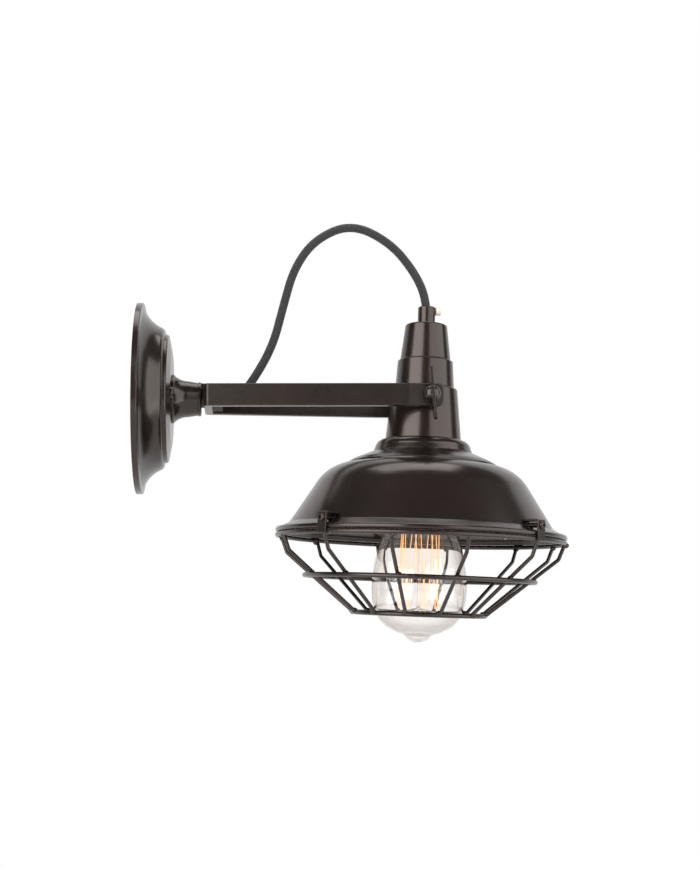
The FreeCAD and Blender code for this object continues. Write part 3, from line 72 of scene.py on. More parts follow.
ahead = Vector((
    math.sin(YAW) * math.cos(PITCH),
    math.cos(YAW) * math.cos(PITCH),
    math.sin(PITCH)))
level = Vector((math.cos(YAW), -math.sin(YAW), 0.0))
upright = level.cross(ahead)
right = math.cos(ROLL) * level + math.sin(ROLL) * upright
above = math.cos(ROLL) * upright - math.sin(ROLL) * level

eye = bpy.data.cameras.new("eye")
eye.lens, eye.sensor_width = LENS_MM, SENSOR_MM
camera = bpy.data.objects.new("eye", eye)
camera.matrix_world = Matrix((
    (right.x, above.x, -ahead.x, EYE.x),
    (right.y, above.y, -ahead.y, EYE.y),
    (right.z, above.z, -ahead.z, EYE.z),
    (0, 0, 0, 1)))
bpy.context.scene.collection.objects.link(camera)
bpy.context.scene.camera = camera
print("camera at", tuple(round(v, 3) for v in EYE))

# %% [markdown]
# ## The cord's line
# The cord leaves the lamp holder through the grip, makes one loop over the
# arm and dives into the hollow knuckle. A smooth curve with few control points
# bends like a real cord. The order and the end rule are set once the points
# exist, otherwise Blender falls back to straight runs.

# %% The cord's route as a smooth spline
CORD_DIAMETER = 0.006
STEPS_PER_POINT = 24
CORD_ROUTE = [
    (0.19444, 0, 0.0160), (0.1956, 0, 0.0415), (0.1966, 0, 0.0695), (0.1892, 0, 0.0890),
    (0.1715, 0, 0.1112), (0.1445, 0, 0.1242), (0.1192, 0, 0.1126), (0.1045, 0, 0.0915),
    (0.0972, 0, 0.0645), (0.0906, 0, 0.0385), (0.0796, 0, 0.0175), (0.0676, 0, 0.0007),
    (0.0420, 0, -0.00025), (0.0165, 0, 0.00015)]

route = bpy.data.curves.new("cord_route", "CURVE")
route.dimensions = "3D"
route.resolution_u = STEPS_PER_POINT
spline = route.splines.new("NURBS")
spline.points.add(len(CORD_ROUTE) - 1)
for point, place in zip(spline.points, CORD_ROUTE):
    point.co = (*place, 1.0)
spline.order_u = 3
spline.use_endpoint_u = True
route_object = bpy.data.objects.new("cord_route", route)
bpy.context.scene.collection.objects.link(route_object)
bpy.context.view_layer.update()
line_mesh = bpy.data.meshes.new_from_object(route_object)
cord_line = [v.co.copy() for v in line_mesh.vertices]
bpy.data.objects.remove(route_object)

# %% [markdown]
# ## The braided sleeve
# A textile cord is a plait of many fine yarns. Half of them wind to the left
# and half to the right, and they pass over and under each other. We could paint
# that on, but the outline of a real braid is slightly uneven, so the yarns are
# lifted out of the tube itself: the ring of points at each step bulges where a
# yarn lies on top. A few helpers come first, and later pieces use them too.

# %% A helper that makes a mesh
def mesh_object(name, verts, faces):
    """A mesh whose faces look outwards; one that measures a volume below zero is turned over."""
    mesh = bpy.data.meshes.new(name)
    mesh.from_pydata(verts, [], faces)
    skin_now = bmesh.new()
    skin_now.from_mesh(mesh)
    if skin_now.calc_volume(signed=True) < 0:
        bmesh.ops.reverse_faces(skin_now, faces=skin_now.faces)
        skin_now.to_mesh(mesh)
    skin_now.free()
    mesh.update()
    thing = bpy.data.objects.new(name, mesh)
    bpy.context.scene.collection.objects.link(thing)
    return thing


def smooth(thing):
    """Shade every face of a piece softly."""
    for face in thing.data.polygons:
        face.use_smooth = True


print("mesh helper ready")


# %% Helpers that turn a line into a tube
def resampled(line, step):
    """Points at an even spacing along a line."""
    places, rest = [line[0].copy()], step
    for a, b in zip(line, line[1:]):
        span = (b - a).length
        while span >= rest:
            a = a + (b - a).normalized() * rest
            places.append(a.copy())
            span -= rest
            rest = step
        rest -= span
    places.append(line[-1].copy())
    return places


def tube(name, line, radius_at, around, flat=Vector((0, 1, 0))):
    """Rings of points along a line, with radius_at(way along it, angle) for each point.

    The ring's own frame starts at flat and is carried along without twist.
    """
    verts, faces, s, other = [], [], 0.0, flat
    for i, place in enumerate(line):
        before, after = line[max(i - 1, 0)], line[min(i + 1, len(line) - 1)]
        way = (after - before).normalized()
        other = (other - way * other.dot(way)).normalized()
        side = other.cross(way)
        if i:
            s += (place - line[i - 1]).length
        for k in range(around):
            angle = 2 * math.pi * k / around
            outwards = side * math.cos(angle) + other * math.sin(angle)
            verts.append(place + outwards * radius_at(s, angle))
    for i in range(len(line) - 1):
        for k in range(around):
            a, b = i * around + k, i * around + (k + 1) % around
            faces.append((a, a + around, b + around, b))
    faces.append(tuple(range(around)))
    faces.append(tuple(range(len(verts) - 1, len(verts) - around - 1, -1)))
    return mesh_object(name, verts, faces)


print("tube helpers ready")


# %% Plait the sleeve
YARNS = 12
YARN_PITCH = 0.0016
SLEEVE_SINK, YARN_LIFT = 0.00016, 0.00014
SLEEVE_STEP, SLEEVE_POINTS_AROUND = 0.0004, 48


def braid_radius(s, angle):
    leftward = YARNS * angle / (2 * math.pi) + s / YARN_PITCH
    rightward = YARNS * angle / (2 * math.pi) - s / YARN_PITCH
    weave = math.sin(math.pi * leftward) * math.sin(math.pi * rightward)
    return CORD_DIAMETER / 2 - SLEEVE_SINK + YARN_LIFT * weave


cord_steps = resampled(cord_line, SLEEVE_STEP)
cord = tube("braided_cord", cord_steps, braid_radius, SLEEVE_POINTS_AROUND)
smooth(cord)
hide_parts("cord")
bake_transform(cord)
print("sleeve", len(cord.data.vertices), "points")

# %% [markdown]
# ## Stage and light
# The photograph has a bare white ground. The floor and the backdrop are pale.
# For the camera, for glossy reflections and through glass they are plain white,
# which needs no extra light on the lamp. One backdrop stands behind the lamp
# only, so a camera that goes round to the back sees the grey sky.

# %% Helpers for the stage
def stage_sheet(name, corners):
    """A flat sheet that belongs to the studio and not to the lamp."""
    sheet = mesh_object(name, [Vector(c) for c in corners], [(0, 1, 2, 3)])
    return sheet


def node(tree, kind, **values):
    """A new shader node with its settings."""
    made = tree.nodes.new(kind)
    for key, value in values.items():
        setattr(made, key, value)
    return made


print("stage helpers ready")


# %% A ground that the camera sees as white
GROUND_GREY = 0.8


def white_ground():
    """Matt pale grey under the lights, and plain white to the camera, in gloss and through glass."""
    material = bpy.data.materials.new("white_ground")
    material.use_nodes = True
    tree = material.node_tree
    tree.nodes.clear()
    out = node(tree, "ShaderNodeOutputMaterial")
    matt = node(tree, "ShaderNodeBsdfDiffuse")
    matt.inputs["Color"].default_value = (GROUND_GREY, GROUND_GREY, GROUND_GREY, 1)
    white = node(tree, "ShaderNodeEmission")
    white.inputs["Color"].default_value = (1, 1, 1, 1)
    path = node(tree, "ShaderNodeLightPath")
    seen_or_mirrored = node(tree, "ShaderNodeMath", operation="MAXIMUM")
    or_through_glass = node(tree, "ShaderNodeMath", operation="MAXIMUM")
    mix = node(tree, "ShaderNodeMixShader")
    link = tree.links.new
    link(path.outputs["Is Camera Ray"], seen_or_mirrored.inputs[0])
    link(path.outputs["Is Glossy Ray"], seen_or_mirrored.inputs[1])
    link(seen_or_mirrored.outputs[0], or_through_glass.inputs[0])
    link(path.outputs["Is Transmission Ray"], or_through_glass.inputs[1])
    link(or_through_glass.outputs[0], mix.inputs[0])
    link(matt.outputs[0], mix.inputs[1])
    link(white.outputs[0], mix.inputs[2])
    link(mix.outputs[0], out.inputs[0])
    return material


ground = white_ground()
print("ground:", ground.name)

# %% Floor and backdrop
FLOOR_Z, BACKDROP_Y, BACKDROP_TOP = -0.55, 1.6, 2.2
STAGE_LEFT, STAGE_RIGHT, STAGE_FRONT = -3.0, 3.4, -3.0
backdrop = stage_sheet("backdrop", [
    (STAGE_LEFT, BACKDROP_Y, FLOOR_Z), (STAGE_RIGHT, BACKDROP_Y, FLOOR_Z),
    (STAGE_RIGHT, BACKDROP_Y, BACKDROP_TOP), (STAGE_LEFT, BACKDROP_Y, BACKDROP_TOP)])
floor = stage_sheet("floor", [
    (STAGE_LEFT, STAGE_FRONT, FLOOR_Z), (STAGE_RIGHT, STAGE_FRONT, FLOOR_Z),
    (STAGE_RIGHT, BACKDROP_Y, FLOOR_Z), (STAGE_LEFT, BACKDROP_Y, FLOOR_Z)])
for sheet in (backdrop, floor):
    sheet.data.materials.append(ground)
print("floor at", FLOOR_Z, "and backdrop at", BACKDROP_Y)

# %% [markdown]
# ## Soft boxes
# Dark gloss paint shows little colour of its own. What we see on it is the
# studio: a tall light to the left gives the bright band on the neck, a wider one
# to the right gives the second, and the gap between them behind the camera
# stays dark. Small lamps would leave hot dots, so the boxes are large. A faint
# one overhead keeps the tops from going black.

# %% Lamps and sky
def soft_box(name, place, aim, size, power):
    """A large flat lamp that the camera doesn't see."""
    lamp = bpy.data.lights.new(name, "AREA")
    lamp.shape = "RECTANGLE"
    lamp.size, lamp.size_y = size
    lamp.energy = power
    thing = bpy.data.objects.new(name, lamp)
    thing.location = place
    thing.rotation_euler = (Vector(aim) - Vector(place)).to_track_quat("-Z", "Y").to_euler()
    thing.visible_camera = False
    bpy.context.scene.collection.objects.link(thing)


LAMP_MIDDLE = (0.15, 0, 0)
SKY_GREY = 0.12
soft_box("soft_box_left", place=(-0.785, -0.90, 0.25), aim=LAMP_MIDDLE, size=(1.27, 1.7), power=26)
soft_box("soft_box_right", place=(1.17, -0.80, 0.25), aim=LAMP_MIDDLE, size=(2.0, 1.7), power=23)
soft_box("soft_box_top", place=(0.15, 0.30, 1.4), aim=LAMP_MIDDLE, size=(1.2, 0.8), power=8)

sky = bpy.data.worlds.new("sky")
bpy.context.scene.world = sky
sky.use_nodes = True
sky.node_tree.nodes["Background"].inputs["Color"].default_value = (SKY_GREY, SKY_GREY, SKY_GREY, 1)
bpy.context.scene.view_settings.view_transform = "Standard"
print("three soft boxes and a dim sky")

# %% [markdown]
# ## The tilting head's own frame
# On the real lamp the head turns about two bolts and leans a little when it
# hangs at rest. Round pieces of the head are easiest to describe straight, in
# millimetres about the head's axis, and then leaned as one.

# %% From the head's own millimetres to metres in the room
LEAN = math.radians(2.3)
PIVOT = Vector((0.1938, 0.0, 0.0))


def in_head(x, y, z):
    """A point of the straight head in mm, given in metres in the leaning head."""
    x, y, z = x / 1000, y / 1000, z / 1000
    leaned_x = x * math.cos(LEAN) + z * math.sin(LEAN)
    leaned_z = z * math.cos(LEAN) - x * math.sin(LEAN)
    return PIVOT + Vector((leaned_x, y, leaned_z))


print("head leans", round(math.degrees(LEAN), 2), "degrees")

# %% [markdown]
# ## A lathe for round pieces
# The bulb's glass, its cap and the thumb screw are all round about an axis. One
# small lathe serves them: it sweeps a profile round the axis, and a rule may push
# the surface in or out at each angle, which is how a thread or a knurl appears.
# The screw modifier could sweep too, but not a profile that changes on the way.

# %% The lathe
ON_AXIS = 1e-6


def lathe(name, profile, around, place, swell=None):
    """Turn (radius, height) points in mm; swell(radius, height, angle) gives the radius."""
    verts, faces, rows = [], [], []
    for radius, height in profile:
        row = []
        if radius < ON_AXIS:
            row = [len(verts)] * around
            verts.append(place(0, 0, height))
        else:
            for k in range(around):
                angle = 2 * math.pi * k / around
                r = swell(radius, height, angle) if swell else radius
                row.append(len(verts))
                verts.append(place(r * math.cos(angle), r * math.sin(angle), height))
        rows.append(row)
    for low, high in zip(rows, rows[1:]):
        for k in range(around):
            n = (k + 1) % around
            corners = [low[k], low[n], high[n], high[k]]
            face = [v for i, v in enumerate(corners) if v not in corners[:i]]
            if len(face) > 2:
                faces.append(face)
    thing = mesh_object(name, verts, faces)
    smooth(thing)
    return thing


print("lathe ready")


# %% Soft curves for profiles
def between(before, start, end, after, t):
    """A number on the soft curve from start to end, at share t of the way."""
    slope = (end - before) * t
    bend = (2 * before - 5 * start + 4 * end - after) * t * t
    twist = (3 * start - before - 3 * end + after) * t ** 3
    return 0.5 * (2 * start + slope + bend + twist)


def smooth_profile(points, steps=8):
    """A soft curve through the points of a profile."""
    line = []
    for i in range(len(points) - 1):
        before, start = points[max(i - 1, 0)], points[i]
        end, after = points[i + 1], points[min(i + 2, len(points) - 1)]
        for step in range(steps):
            line.append(tuple(between(*numbers, step / steps) for numbers in zip(before, start, end, after)))
    line.append(points[-1])
    return line


print("profile helpers ready")

# %% [markdown]
# ## The bulb's glass
# The bulb is blown from clear glass: a narrow neck in the cap, a pear body and
# a soft nib where the exhaust tube was melted off. The wall is a little under
# one millimetre, so the piece is a closed skin with an outer and an inner face.
# A single face would not bend light the way a wall does.

# %% Blow the glass
GLASS_WALL = 0.9
GLASS_POINTS_AROUND = 96
LEAST_INNER_R = 0.2
GLASS_OUTLINE = [
    (12.8, -45.6), (12.9, -48.7), (13.8, -52.0), (17.9, -68.0), (25.0, -88.5),
    (29.8, -107.0), (32.0, -126.0), (29.8, -141.6), (24.3, -150.6), (16.5, -155.6),
    (10.6, -157.7), (8.6, -158.9), (6.5, -161.0), (3.4, -162.5), (0.0, -162.8)]


def inner_wall(profile, wall):
    """The same profile moved inwards by the wall, read back from foot to neck."""
    moved = []
    for i in range(len(profile) - 1):
        (r0, z0), (r1, z1) = profile[max(i - 1, 0)], profile[i + 1]
        long = math.hypot(r1 - r0, z1 - z0)
        radius = profile[i][0] + (z1 - z0) / long * wall
        height = profile[i][1] - (r1 - r0) / long * wall
        moved.append((max(radius, LEAST_INNER_R), height))
    moved.append((0.0, profile[-1][1] + wall))
    return moved[::-1]


outer_glass = smooth_profile(GLASS_OUTLINE)
wall_loop = outer_glass + inner_wall(outer_glass, GLASS_WALL)
glass_skin = lathe("blown_glass", wall_loop + [wall_loop[0]], GLASS_POINTS_AROUND, in_head)
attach(glass_skin, "bulb")
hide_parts("bulb_glass")
print("glass", len(glass_skin.data.vertices), "points")

# %% [markdown]
# ## The screw cap
# The cap is thin brass sheet, rolled into a round thread of about 3.6 mm pitch.
# Rings stacked on each other would look alike from the side but not be a screw.
# The lathe's rule shifts a wave by one pitch per turn, so the ridge climbs.

# %% Roll the thread of the cap
THREAD_PITCH, THREAD_DEPTH = 3.62, 0.75
PLAIN_COLLAR, THREAD_RUN_OUT = 2.5, 1.5
CAP_MOUTH, CAP_TOP, CAP_R = -47.5, -26.0, 13.15
SHEET_AND_THREAD, THREADED_SKIN = 1.1, 0.5
CAP_STEP, CAP_POINTS_AROUND = 0.3, 72


def rolled_thread(radius, height, angle):
    """The thread lies on the outer face only, and fades out at both ends."""
    if radius < CAP_R - THREADED_SKIN:
        return radius
    above_collar = max(0.0, (height - CAP_MOUTH - PLAIN_COLLAR) / THREAD_RUN_OUT)
    below_top = max(0.0, (CAP_TOP - height) / THREAD_RUN_OUT)
    wave = 0.5 + 0.5 * math.cos(2 * math.pi * height / THREAD_PITCH - angle)
    return radius - THREAD_DEPTH * min(1.0, above_collar, below_top) * wave


cap_steps = int((CAP_TOP - CAP_MOUTH) / CAP_STEP) + 1
cap_rows = [(CAP_R, CAP_MOUTH + CAP_STEP * step) for step in range(cap_steps)]
cap_inside = [(CAP_R - SHEET_AND_THREAD, height) for _, height in reversed(cap_rows)]
cap_shoulder = [(11.6, -24.6), (5.4, -22.9), (5.2, -22.5), (4.9, -23.3), (10.9, -25.2)]
cap_loop = cap_rows + cap_shoulder + cap_inside + [cap_rows[0]]
screw_cap = lathe("rolled_cap", cap_loop, CAP_POINTS_AROUND, in_head, rolled_thread)
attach(screw_cap, "bulb")
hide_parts("bulb_cap")
print("cap", len(screw_cap.data.vertices), "points")

# %% [markdown]
# ## The filament
# The glowing thread runs up and down between two rings of hooks. Each strand
# hangs in a slight bow, because a hot wire is soft. Separate straight rods
# would look like a cage inside the bulb, so one line is led past all the hooks
# and made into a single thin tube.

# %% String the filament
HOOKS = 7
UPPER_HOOKS, LOWER_HOOKS = (12.5, -80.0), (13.5, -143.0)
STRAND_R = 0.00026
STRAND_POINTS_AROUND = 6
STRAND_STEPS = 24
BOW, HOOK_SPREAD = 0.9, 0.35
FIRST_SIDE = Vector((0.3, 0.9, 0.1))


def hook_at(ring, turn):
    radius, height = ring
    return Vector((radius * math.cos(turn), radius * math.sin(turn), height))


strand_path = []
for number in range(2 * HOOKS - 1):
    turn = math.pi * number / HOOKS
    hook_rings = (UPPER_HOOKS, LOWER_HOOKS) if number % 2 == 0 else (LOWER_HOOKS, UPPER_HOOKS)
    start = hook_at(hook_rings[0], turn)
    end = hook_at(hook_rings[1], turn + math.pi / HOOKS)
    across = Vector((-math.sin(turn), math.cos(turn), 0))
    outward = Vector((math.cos(turn), math.sin(turn), 0))
    for step in range(1, STRAND_STEPS):
        t = step / STRAND_STEPS
        bulge = BOW * math.sin(math.pi * t)
        aside = HOOK_SPREAD * math.cos(math.pi * t)
        strand_path.append(in_head(*(start.lerp(end, t) + across * aside + outward * bulge)))
filament = tube("amber_filament", strand_path, lambda s, angle: STRAND_R, STRAND_POINTS_AROUND, FIRST_SIDE)
smooth(filament)
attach(filament, "bulb")
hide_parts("filament")
print("filament of", 2 * HOOKS - 1, "strands")

# %% [markdown]
# ## The cord grip's thumb screw
# A small nylon screw clamps the cord where it enters the head. Its head is
# knurled so that fingers can turn it: 26 ridges on the rim only. A bump in the
# material could show them from near, but would leave the outline round.

# %% Knurl the thumb screw
GRIP_HEIGHT = 63.3
RIDGES, RIDGE_HEIGHT = 26, 0.13
RIM_START, RIM_END, RIM_R = 6.5, 9.6, 2.6
RIDGED_R, RIDGED_ROWS, FIRST_ROW, ROW_STEP = 2.78, 10, 6.6, 0.3
SCREW_POINTS_AROUND = 156


def along_head_x(x, y, z):
    """The screw's own axis lies along the head's X, at the grip's height."""
    return in_head(z, x, y + GRIP_HEIGHT)


def knurl(radius, height, angle):
    """Ridges on the rim of the head, and nowhere else."""
    if radius > RIM_R and RIM_START < height < RIM_END:
        return radius + RIDGE_HEIGHT * math.cos(RIDGES * angle)
    return radius


grip_rows = [(0, 3.1), (1.4, 3.1), (1.45, 5.9), (1.6, 6.15), (2.5, 6.15), (2.62, 6.35)]
grip_rows += [(RIDGED_R, FIRST_ROW + ROW_STEP * row) for row in range(RIDGED_ROWS)]
grip_rows += [(2.6, 9.65), (2.3, 9.9), (1.5, 9.8), (0.9, 9.55), (0, 9.5)]
thumb_screw = lathe("knurled_thumb_screw", grip_rows, SCREW_POINTS_AROUND, along_head_x, knurl)
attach(thumb_screw, "grip_screw")
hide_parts("grip_screw")
print("thumb screw", len(thumb_screw.data.vertices), "points")

# %% [markdown]
# ## Weld beads
# The cage is bent wire, joined by hand: where a rib meets a ring, a little
# metal has melted and run into the corner. The joints are found by asking
# which points of a rib lie nearest to a ring, so each bead sits on both wires.
# A bead is a small flattened drop whose surface is pushed about unevenly.

# %% Helpers that find a joint and shape a bead
BEAD_R, BEAD_FLATNESS, BEAD_UNEVENNESS = 0.0021, 0.8, 0.22
BEAD_BELTS, BEAD_SECTORS = 6, 10
LUMP_SCALE, SEED_STEP = 1.7, 3.1


def nearest_joint(rib, ring):
    """The point midway between a rib and a ring where they touch."""
    ring_verts = [v.co for v in ring.data.vertices]
    tree = KDTree(len(ring_verts))
    for i, place in enumerate(ring_verts):
        tree.insert(place, i)
    tree.balance()
    best = min(((tree.find(v.co), v.co) for v in rib.data.vertices), key=lambda pair: pair[0][2])
    return (best[0][0] + best[1]) / 2


def bead_drop(middle, seed):
    """Points and faces of one drop."""
    verts, faces = [], []
    for belt in range(BEAD_BELTS + 1):
        up = math.pi * belt / BEAD_BELTS
        for k in range(BEAD_SECTORS):
            turn = 2 * math.pi * k / BEAD_SECTORS
            way = Vector((math.sin(up) * math.cos(turn), math.sin(up) * math.sin(turn), math.cos(up)))
            lump = noise.noise(way * LUMP_SCALE + Vector((seed * SEED_STEP, 0, 0)))
            flattened = Vector((way.x, way.y, way.z * BEAD_FLATNESS))
            verts.append(middle + flattened * BEAD_R * (1 + BEAD_UNEVENNESS * lump))
    for belt in range(BEAD_BELTS):
        for k in range(BEAD_SECTORS):
            a = belt * BEAD_SECTORS + k
            b = belt * BEAD_SECTORS + (k + 1) % BEAD_SECTORS
            faces.append((a, a + BEAD_SECTORS, b + BEAD_SECTORS, b))
    return verts, faces


print("bead helpers ready")

# %% Lay a bead on each joint
rings = [nodes[name] for name in ("cage_top_ring", "cage_mid_ring", "cage_bottom_ring")]
ribs = [nodes["cage_rib_{:02d}".format(number)] for number in range(1, 13)]
bead_verts, bead_faces = [], []
for number, rib in enumerate(ribs):
    for ring_number, ring in enumerate(rings):
        verts, faces = bead_drop(nearest_joint(rib, ring), len(rings) * number + ring_number)
        first = len(bead_verts)
        bead_verts += verts
        bead_faces += [tuple(first + v for v in face) for face in faces]
beads = mesh_object("weld_beads", bead_verts, bead_faces)
smooth(beads)
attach(beads, "lamp_head")
print(len(ribs) * len(rings), "beads")

# %% [markdown]
# ## Shared surface effects
# Three effects return on nearly every surface of the lamp. Patches: paint and
# metal are never one flat colour. Skin: sprayed paint dries with a fine
# orange-peel ripple, cast metal keeps the sand's grain. Worn edges: corners
# lose a little paint and shine lighter. Each effect is a node group, built once
# and placed with its own values.

# %% A helper for groups
def new_group(name, inputs, outputs):
    """A node group with named sockets, and its two end nodes."""
    group = bpy.data.node_groups.new(name, "ShaderNodeTree")
    for label, kind, value in inputs:
        group.interface.new_socket(label, in_out="INPUT", socket_type=kind).default_value = value
    for label, kind in outputs:
        group.interface.new_socket(label, in_out="OUTPUT", socket_type=kind)
    return group, node(group, "NodeGroupInput"), node(group, "NodeGroupOutput")


print("group helper ready")


# %% Helpers that wire common nodes
def wired_noise(tree, scale, detail=3.0):
    """A noise texture on the piece's own coordinates; scale is a socket or a number."""
    place = node(tree, "ShaderNodeTexCoord")
    cloud = node(tree, "ShaderNodeTexNoise")
    cloud.inputs["Detail"].default_value = detail
    tree.links.new(place.outputs["Object"], cloud.inputs["Vector"])
    if hasattr(scale, "default_value"):
        tree.links.new(scale, cloud.inputs["Scale"])
    else:
        cloud.inputs["Scale"].default_value = scale
    return cloud


def spread(tree, value, low, high, to_low=0.0, to_high=1.0):
    """Map Range from one span to another."""
    mapped = node(tree, "ShaderNodeMapRange")
    for label, number in (("From Min", low), ("From Max", high), ("To Min", to_low), ("To Max", to_high)):
        if hasattr(number, "default_value"):
            tree.links.new(number, mapped.inputs[label])
        else:
            mapped.inputs[label].default_value = number
    tree.links.new(value, mapped.inputs["Value"])
    return mapped.outputs[0]


def blended(tree, share, first, second):
    """Mix two colours; sockets 6 and 7 of the mix node take its colours, and 2 gives the mixed one."""
    mix = node(tree, "ShaderNodeMix", data_type="RGBA")
    for socket, wanted in ((mix.inputs[0], share), (mix.inputs[6], first), (mix.inputs[7], second)):
        if hasattr(wanted, "default_value"):
            tree.links.new(wanted, socket)
        else:
            socket.default_value = wanted
    return mix.outputs[2]


print("wiring helpers ready")

# %% Patches
COLOR, FLOAT = "NodeSocketColor", "NodeSocketFloat"
PATCH_EDGES = (0.35, 0.65)

patches, given, result = new_group(
    "patches", [("Light", COLOR, (0.5, 0.5, 0.5, 1)), ("Dark", COLOR, (0.4, 0.4, 0.4, 1)),
                ("Patches per metre", FLOAT, 30.0)],
    [("Color", COLOR), ("Mask", FLOAT)])
cloud = wired_noise(patches, given.outputs["Patches per metre"], detail=4.0)
patch_mask = spread(patches, cloud.outputs[0], *PATCH_EDGES)
patch_color = blended(patches, patch_mask, given.outputs["Dark"], given.outputs["Light"])
patches.links.new(patch_color, result.inputs["Color"])
patches.links.new(patch_mask, result.inputs["Mask"])
print("group", patches.name)

# %% Skin
FINER = 4.3
skin, given, result = new_group(
    "skin", [("Grains per metre", FLOAT, 900.0), ("Fine share", FLOAT, 0.3)], [("Height", FLOAT)])
coarse = wired_noise(skin, given.outputs["Grains per metre"], detail=2.0)
finer_scale = node(skin, "ShaderNodeMath", operation="MULTIPLY")
finer_scale.inputs[1].default_value = FINER
skin.links.new(given.outputs["Grains per metre"], finer_scale.inputs[0])
fine = wired_noise(skin, finer_scale.outputs[0], detail=1.0)
fine_part = node(skin, "ShaderNodeMath", operation="MULTIPLY_ADD")
skin.links.new(fine.outputs[0], fine_part.inputs[0])
skin.links.new(given.outputs["Fine share"], fine_part.inputs[1])
skin.links.new(coarse.outputs[0], fine_part.inputs[2])
skin.links.new(fine_part.outputs[0], result.inputs["Height"])
print("group", skin.name)

# %% Worn edges
RUB_PATCHES_PER_METRE, RUB_EDGES = 240.0, (0.42, 0.62)
FLAT_COSINE, CORNER_COSINE = 0.995, 0.90
BEVEL_SAMPLES = 4
worn_edge, given, result = new_group("worn_edge", [("Width", FLOAT, 0.0006)], [("Mask", FLOAT)])
rounded = node(worn_edge, "ShaderNodeBevel", samples=BEVEL_SAMPLES)
worn_edge.links.new(given.outputs["Width"], rounded.inputs["Radius"])
surface = node(worn_edge, "ShaderNodeNewGeometry")
agree = node(worn_edge, "ShaderNodeVectorMath", operation="DOT_PRODUCT")
worn_edge.links.new(rounded.outputs[0], agree.inputs[0])
worn_edge.links.new(surface.outputs["Normal"], agree.inputs[1])
corner = spread(worn_edge, agree.outputs["Value"], FLAT_COSINE, CORNER_COSINE)
rub_cloud = wired_noise(worn_edge, RUB_PATCHES_PER_METRE, detail=5.0)
rub = spread(worn_edge, rub_cloud.outputs[0], *RUB_EDGES)
rubbed = node(worn_edge, "ShaderNodeMath", operation="MULTIPLY", use_clamp=True)
worn_edge.links.new(corner, rubbed.inputs[0])
worn_edge.links.new(rub, rubbed.inputs[1])
worn_edge.links.new(rubbed.outputs[0], result.inputs["Mask"])
print("group", worn_edge.name)

# %% [markdown]
# ## One recipe for every finish
# Each finish has two near colours in patches, a skin for the bump, a roughness
# that wanders, and where it fits a worn edge. One recipe keeps the finishes
# alike in build and different in values, which is easier to tune than a node
# tree drawn afresh for each. Numbers that are the same all over a surface, such
# as metallic, are set on the shader itself.

# %% The recipe
STREAKS_PER_PATCH, STREAK_EDGES = 5, (0.3, 0.7)


def placed(tree, group, **values):
    """A node group put into a material with its own values."""
    spot = node(tree, "ShaderNodeGroup", node_tree=group)
    for label, value in values.items():
        spot.inputs[label.replace("_", " ")].default_value = value
    return spot


def finish(name, light, dark, gloss, grains, depth, patch=30.0, fine=0.3, worn=None, width=0.0006, **fixed):
    """A finished surface; gloss is its span of roughness, depth the bump in metres."""
    material = bpy.data.materials.new(name)
    material.use_nodes = True
    tree = material.node_tree
    shader = tree.nodes["Principled BSDF"]
    colours = placed(tree, patches, Light=(*light, 1), Dark=(*dark, 1), Patches_per_metre=patch)
    color = colours.outputs["Color"]
    if worn:
        edge = placed(tree, worn_edge, Width=width)
        color = blended(tree, edge.outputs["Mask"], color, (*worn, 1))
    tree.links.new(color, shader.inputs["Base Color"])
    streaks = wired_noise(tree, patch * STREAKS_PER_PATCH, detail=4.0)
    roughness = spread(tree, streaks.outputs[0], *STREAK_EDGES, *gloss)
    tree.links.new(roughness, shader.inputs["Roughness"])
    surface_skin = placed(tree, skin, Grains_per_metre=grains, Fine_share=fine)
    bump = node(tree, "ShaderNodeBump")
    bump.inputs["Distance"].default_value = depth
    if worn:
        soft_corner = node(tree, "ShaderNodeBevel", samples=BEVEL_SAMPLES)
        soft_corner.inputs["Radius"].default_value = width
        tree.links.new(soft_corner.outputs[0], bump.inputs["Normal"])
    tree.links.new(surface_skin.outputs["Height"], bump.inputs["Height"])
    tree.links.new(bump.outputs[0], shader.inputs["Normal"])
    for label, value in fixed.items():
        shader.inputs[label.replace("_", " ")].default_value = value
    return material


print("recipe ready")

# %% [markdown]
# ## The paints
# The lamp is sprayed in a warm dark brown-black with a satin gloss. A single
# paint would do for a far view. Close by, a spun shade is smoother than a cast
# neck, and bent wire has the shortest ripple, so each gets its own. Bars and
# wires are a little duller. A slight tint of the gloss keeps the light bands
# warm.

# %% Paints
PAINT, PAINT_SHADE = (0.0120, 0.0074, 0.0061), (0.0090, 0.0055, 0.0045)
RUBBED = (0.060, 0.044, 0.036)
WARM_GLOSS = {"Specular_Tint": (1.0, 0.87, 0.81, 1), "IOR": 1.6}


def black_paint(name, **values):
    """The lamp's black, with the gloss and the ripple of one way of forming."""
    return finish(name, PAINT, PAINT_SHADE, worn=RUBBED, **values, **WARM_GLOSS)


spun_paint = black_paint("spun_paint", gloss=(0.20, 0.24), grains=420, depth=0.000003)
cast_paint = black_paint("cast_paint", gloss=(0.20, 0.24), grains=700, depth=0.000005, patch=45, fine=0.4)
bar_paint = black_paint("bar_paint", gloss=(0.27, 0.31), grains=900, depth=0.000006, width=0.0008)
wire_paint = black_paint("wire_paint", gloss=(0.26, 0.31), grains=1200, depth=0.000008, patch=90)
print("paints:", spun_paint.name, cast_paint.name, bar_paint.name, wire_paint.name)

# %% [markdown]
# ## The metals
# Bare metal is found on bolts, hidden nuts and tubes, the wall bracket and the
# lamp holder's contacts. Zinc has pale and dark flecks, raw steel is duller and
# browner, and brass tarnishes in patches. The cage's clip screws are zinc turned
# dark. Colour carries most of the look of a metal, so the patches differ in
# colour more than in bump.

# %% Metals
def bare_metal(name, light, dark, **values):
    """A finish without paint."""
    return finish(name, light, dark, **values, Metallic=1.0)


